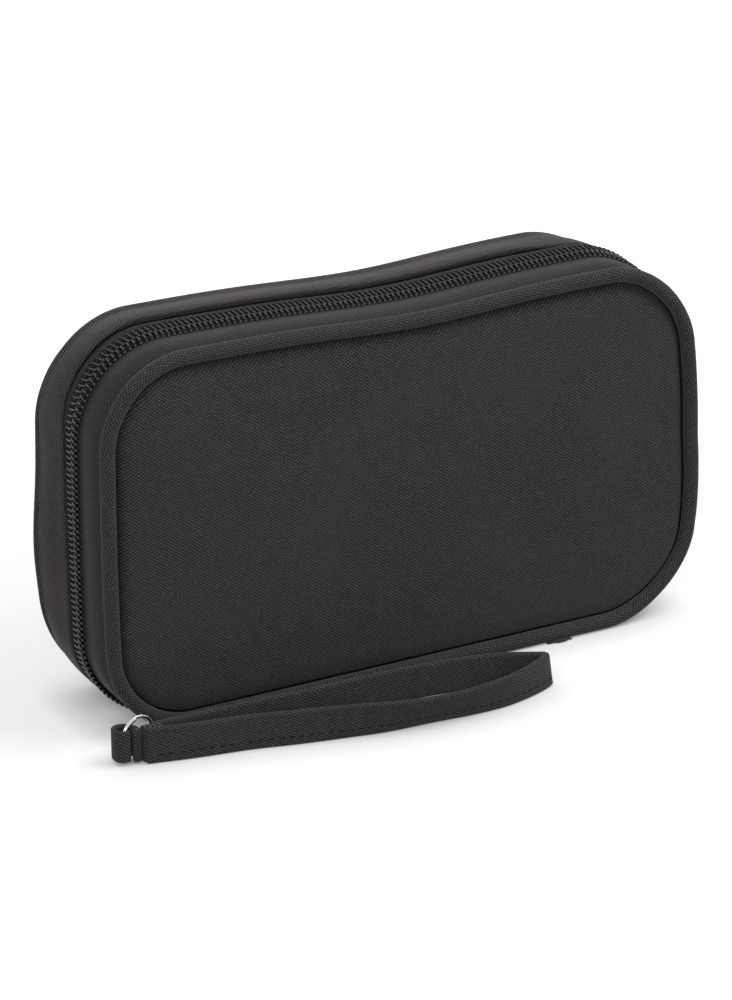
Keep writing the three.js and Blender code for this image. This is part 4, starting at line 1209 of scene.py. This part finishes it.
# The strap's row of stitches shows as short dark dashes in the outer face, a little over the lower edge. They
# are of black thread, and hold the folded strip together.
def strap_stitches():
    along = unit(np.gradient(strap_path, axis=0))
    out = np.stack([along[:, 1], -along[:, 0]], axis=-1)
    face = strap_path + out * (strap_thick / 2 - stitch_sunk)
    foot_share = stitch_height / strap_right_height
    made = []
    for start in np.arange(stitch_margin, strap_run[-1] - stitch_margin, stitch_pitch):
        shift = 0.35 * noise.noise(Vector((start * 1.7, 0.5, 0.5)))
        length = stitch_length * (0.7 + 0.6 * abs(noise.noise(Vector((start * 2.3, 4.5, 2.5)))))
        distance = np.linspace(start + shift, start + shift + length, 5)
        lean = np.interp(distance, strap_run, strap_leans) * foot_share
        x, y = (np.interp(distance, strap_run, face[:, k]) + np.interp(distance, strap_run, out[:, k]) * lean
                for k in range(2))
        x = x + np.interp(distance, strap_run, strap_spreads) * (1 - foot_share)
        made.append(tube("stitch", np.stack([x, y, np.full(5, stitch_height)], axis=-1), stitch_radius, 6))
    return join_pieces("strap_stitches", made)


dress(strap_stitches(), thread_black, "strap", "cloth")


# A short loop at the strap's left end holds the ring. It is a strip of the same cloth on edge, sewn into the
# strap's joint.
loop_thick = 1.2
loop_height = 9.5
loop_foot = 0.9
loop_depth = 5.6
loop_line_shares = [
    (0.91, 0.08), (0.86, -0.12), (0.74, -0.32), (0.55, -0.5), (0.3, -0.56), (0.08, -0.42), (0.03, -0.16),
    (0.06, 0.1), (0.16, 0.23), (0.3, 0.27), (0.5, 0.27),
]


def end_loop():
    points = (strap_left, joint_back) + np.array(loop_line_shares) * (joint_start - seat, -loop_depth)
    line = smooth_line(points, 10)
    return upright_strip("ring_loop_cloth", line, loop_thick, np.full(len(line), loop_height), edge=8,
                         foot=loop_foot)


dress(end_loop(), seam_cloth, "strap", "cloth", "strap_end_loop")


# The metal: a die-cast slider with its bail, the tab, the crimped stop and a split ring of sprung wire, all
# nickel plated and a little rubbed.
metal_edge = 0.18
flat_angle = math.radians(2)  # faces that meet at less are made one
sharp_angle = math.radians(40)

nickel = hard_finish("nickel", (0.50, 0.48, 0.45, 1), (0.80, 0.78, 0.74, 1), (420, 5.0, 0.7),
                     (0.2, 0.8, 0.14, 0.34), 0.2, 0.02, scratches=(300, 300, 4200), metallic=1.0)


def bevelled_copy(name, node, body):
    """The CAD node's own form with its sharp edges broken."""
    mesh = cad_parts[node].data.copy()
    mesh.materials.clear()
    with reworked(mesh) as made:
        bmesh.ops.remove_doubles(made, verts=made.verts, dist=0.01 * mm)
        bmesh.ops.dissolve_limit(made, angle_limit=flat_angle, verts=made.verts, edges=made.edges)
        sharp = [edge for edge in made.edges
                 if len(edge.link_faces) == 2 and edge.calc_face_angle() > sharp_angle]
        bmesh.ops.bevel(made, geom=sharp, offset=metal_edge * mm, segments=2, affect="EDGES", profile=0.5,
                        clamp_overlap=True)
    mesh.shade_smooth()
    dress(put(name, mesh), nickel, body, "metal", node)


bevelled_copy("zip_slider", "slider", "slider")
bevelled_copy("zip_pull", "pull_tab", "pull_tab")
bevelled_copy("zip_stop", "zip_end_stop", "front_half")

ring_outer = 5.5
ring_wire = 0.5
ring_turn = math.radians(15)
ring_turns = 2
ring_steps = 72
ring_gap_steps = 4  # the wire's ends leave this much open
ring_start = math.radians(100)
ring_sides = 10
ring_closeness = 0.98
ring_place = Vector((strap_left + 7.2, strap_near + 1.1 + zip_plane, 0.3 + ring_outer))


def split_ring():
    """Two flat turns of wire that lie against each other, with their ends set a little apart."""
    turn = np.arange(ring_turns * ring_steps - ring_gap_steps)[:, None] / ring_steps
    angle = turn * math.tau + ring_start
    round_wire = np.arange(ring_sides) * math.tau / ring_sides
    radial = ring_outer - ring_wire + ring_wire * np.cos(round_wire)
    aside = (turn - ring_turns / 2) * ring_wire * ring_closeness + ring_wire / 2 * np.sin(round_wire)
    x = radial * np.cos(angle)
    points = np.stack([x * math.cos(ring_turn) - aside * math.sin(ring_turn),
                       x * math.sin(ring_turn) + aside * math.cos(ring_turn),
                       radial * np.sin(angle)], axis=-1)
    return sweep("key_ring", points + ring_place, False)


dress(split_ring(), nickel, "ring", "metal", "split_ring")
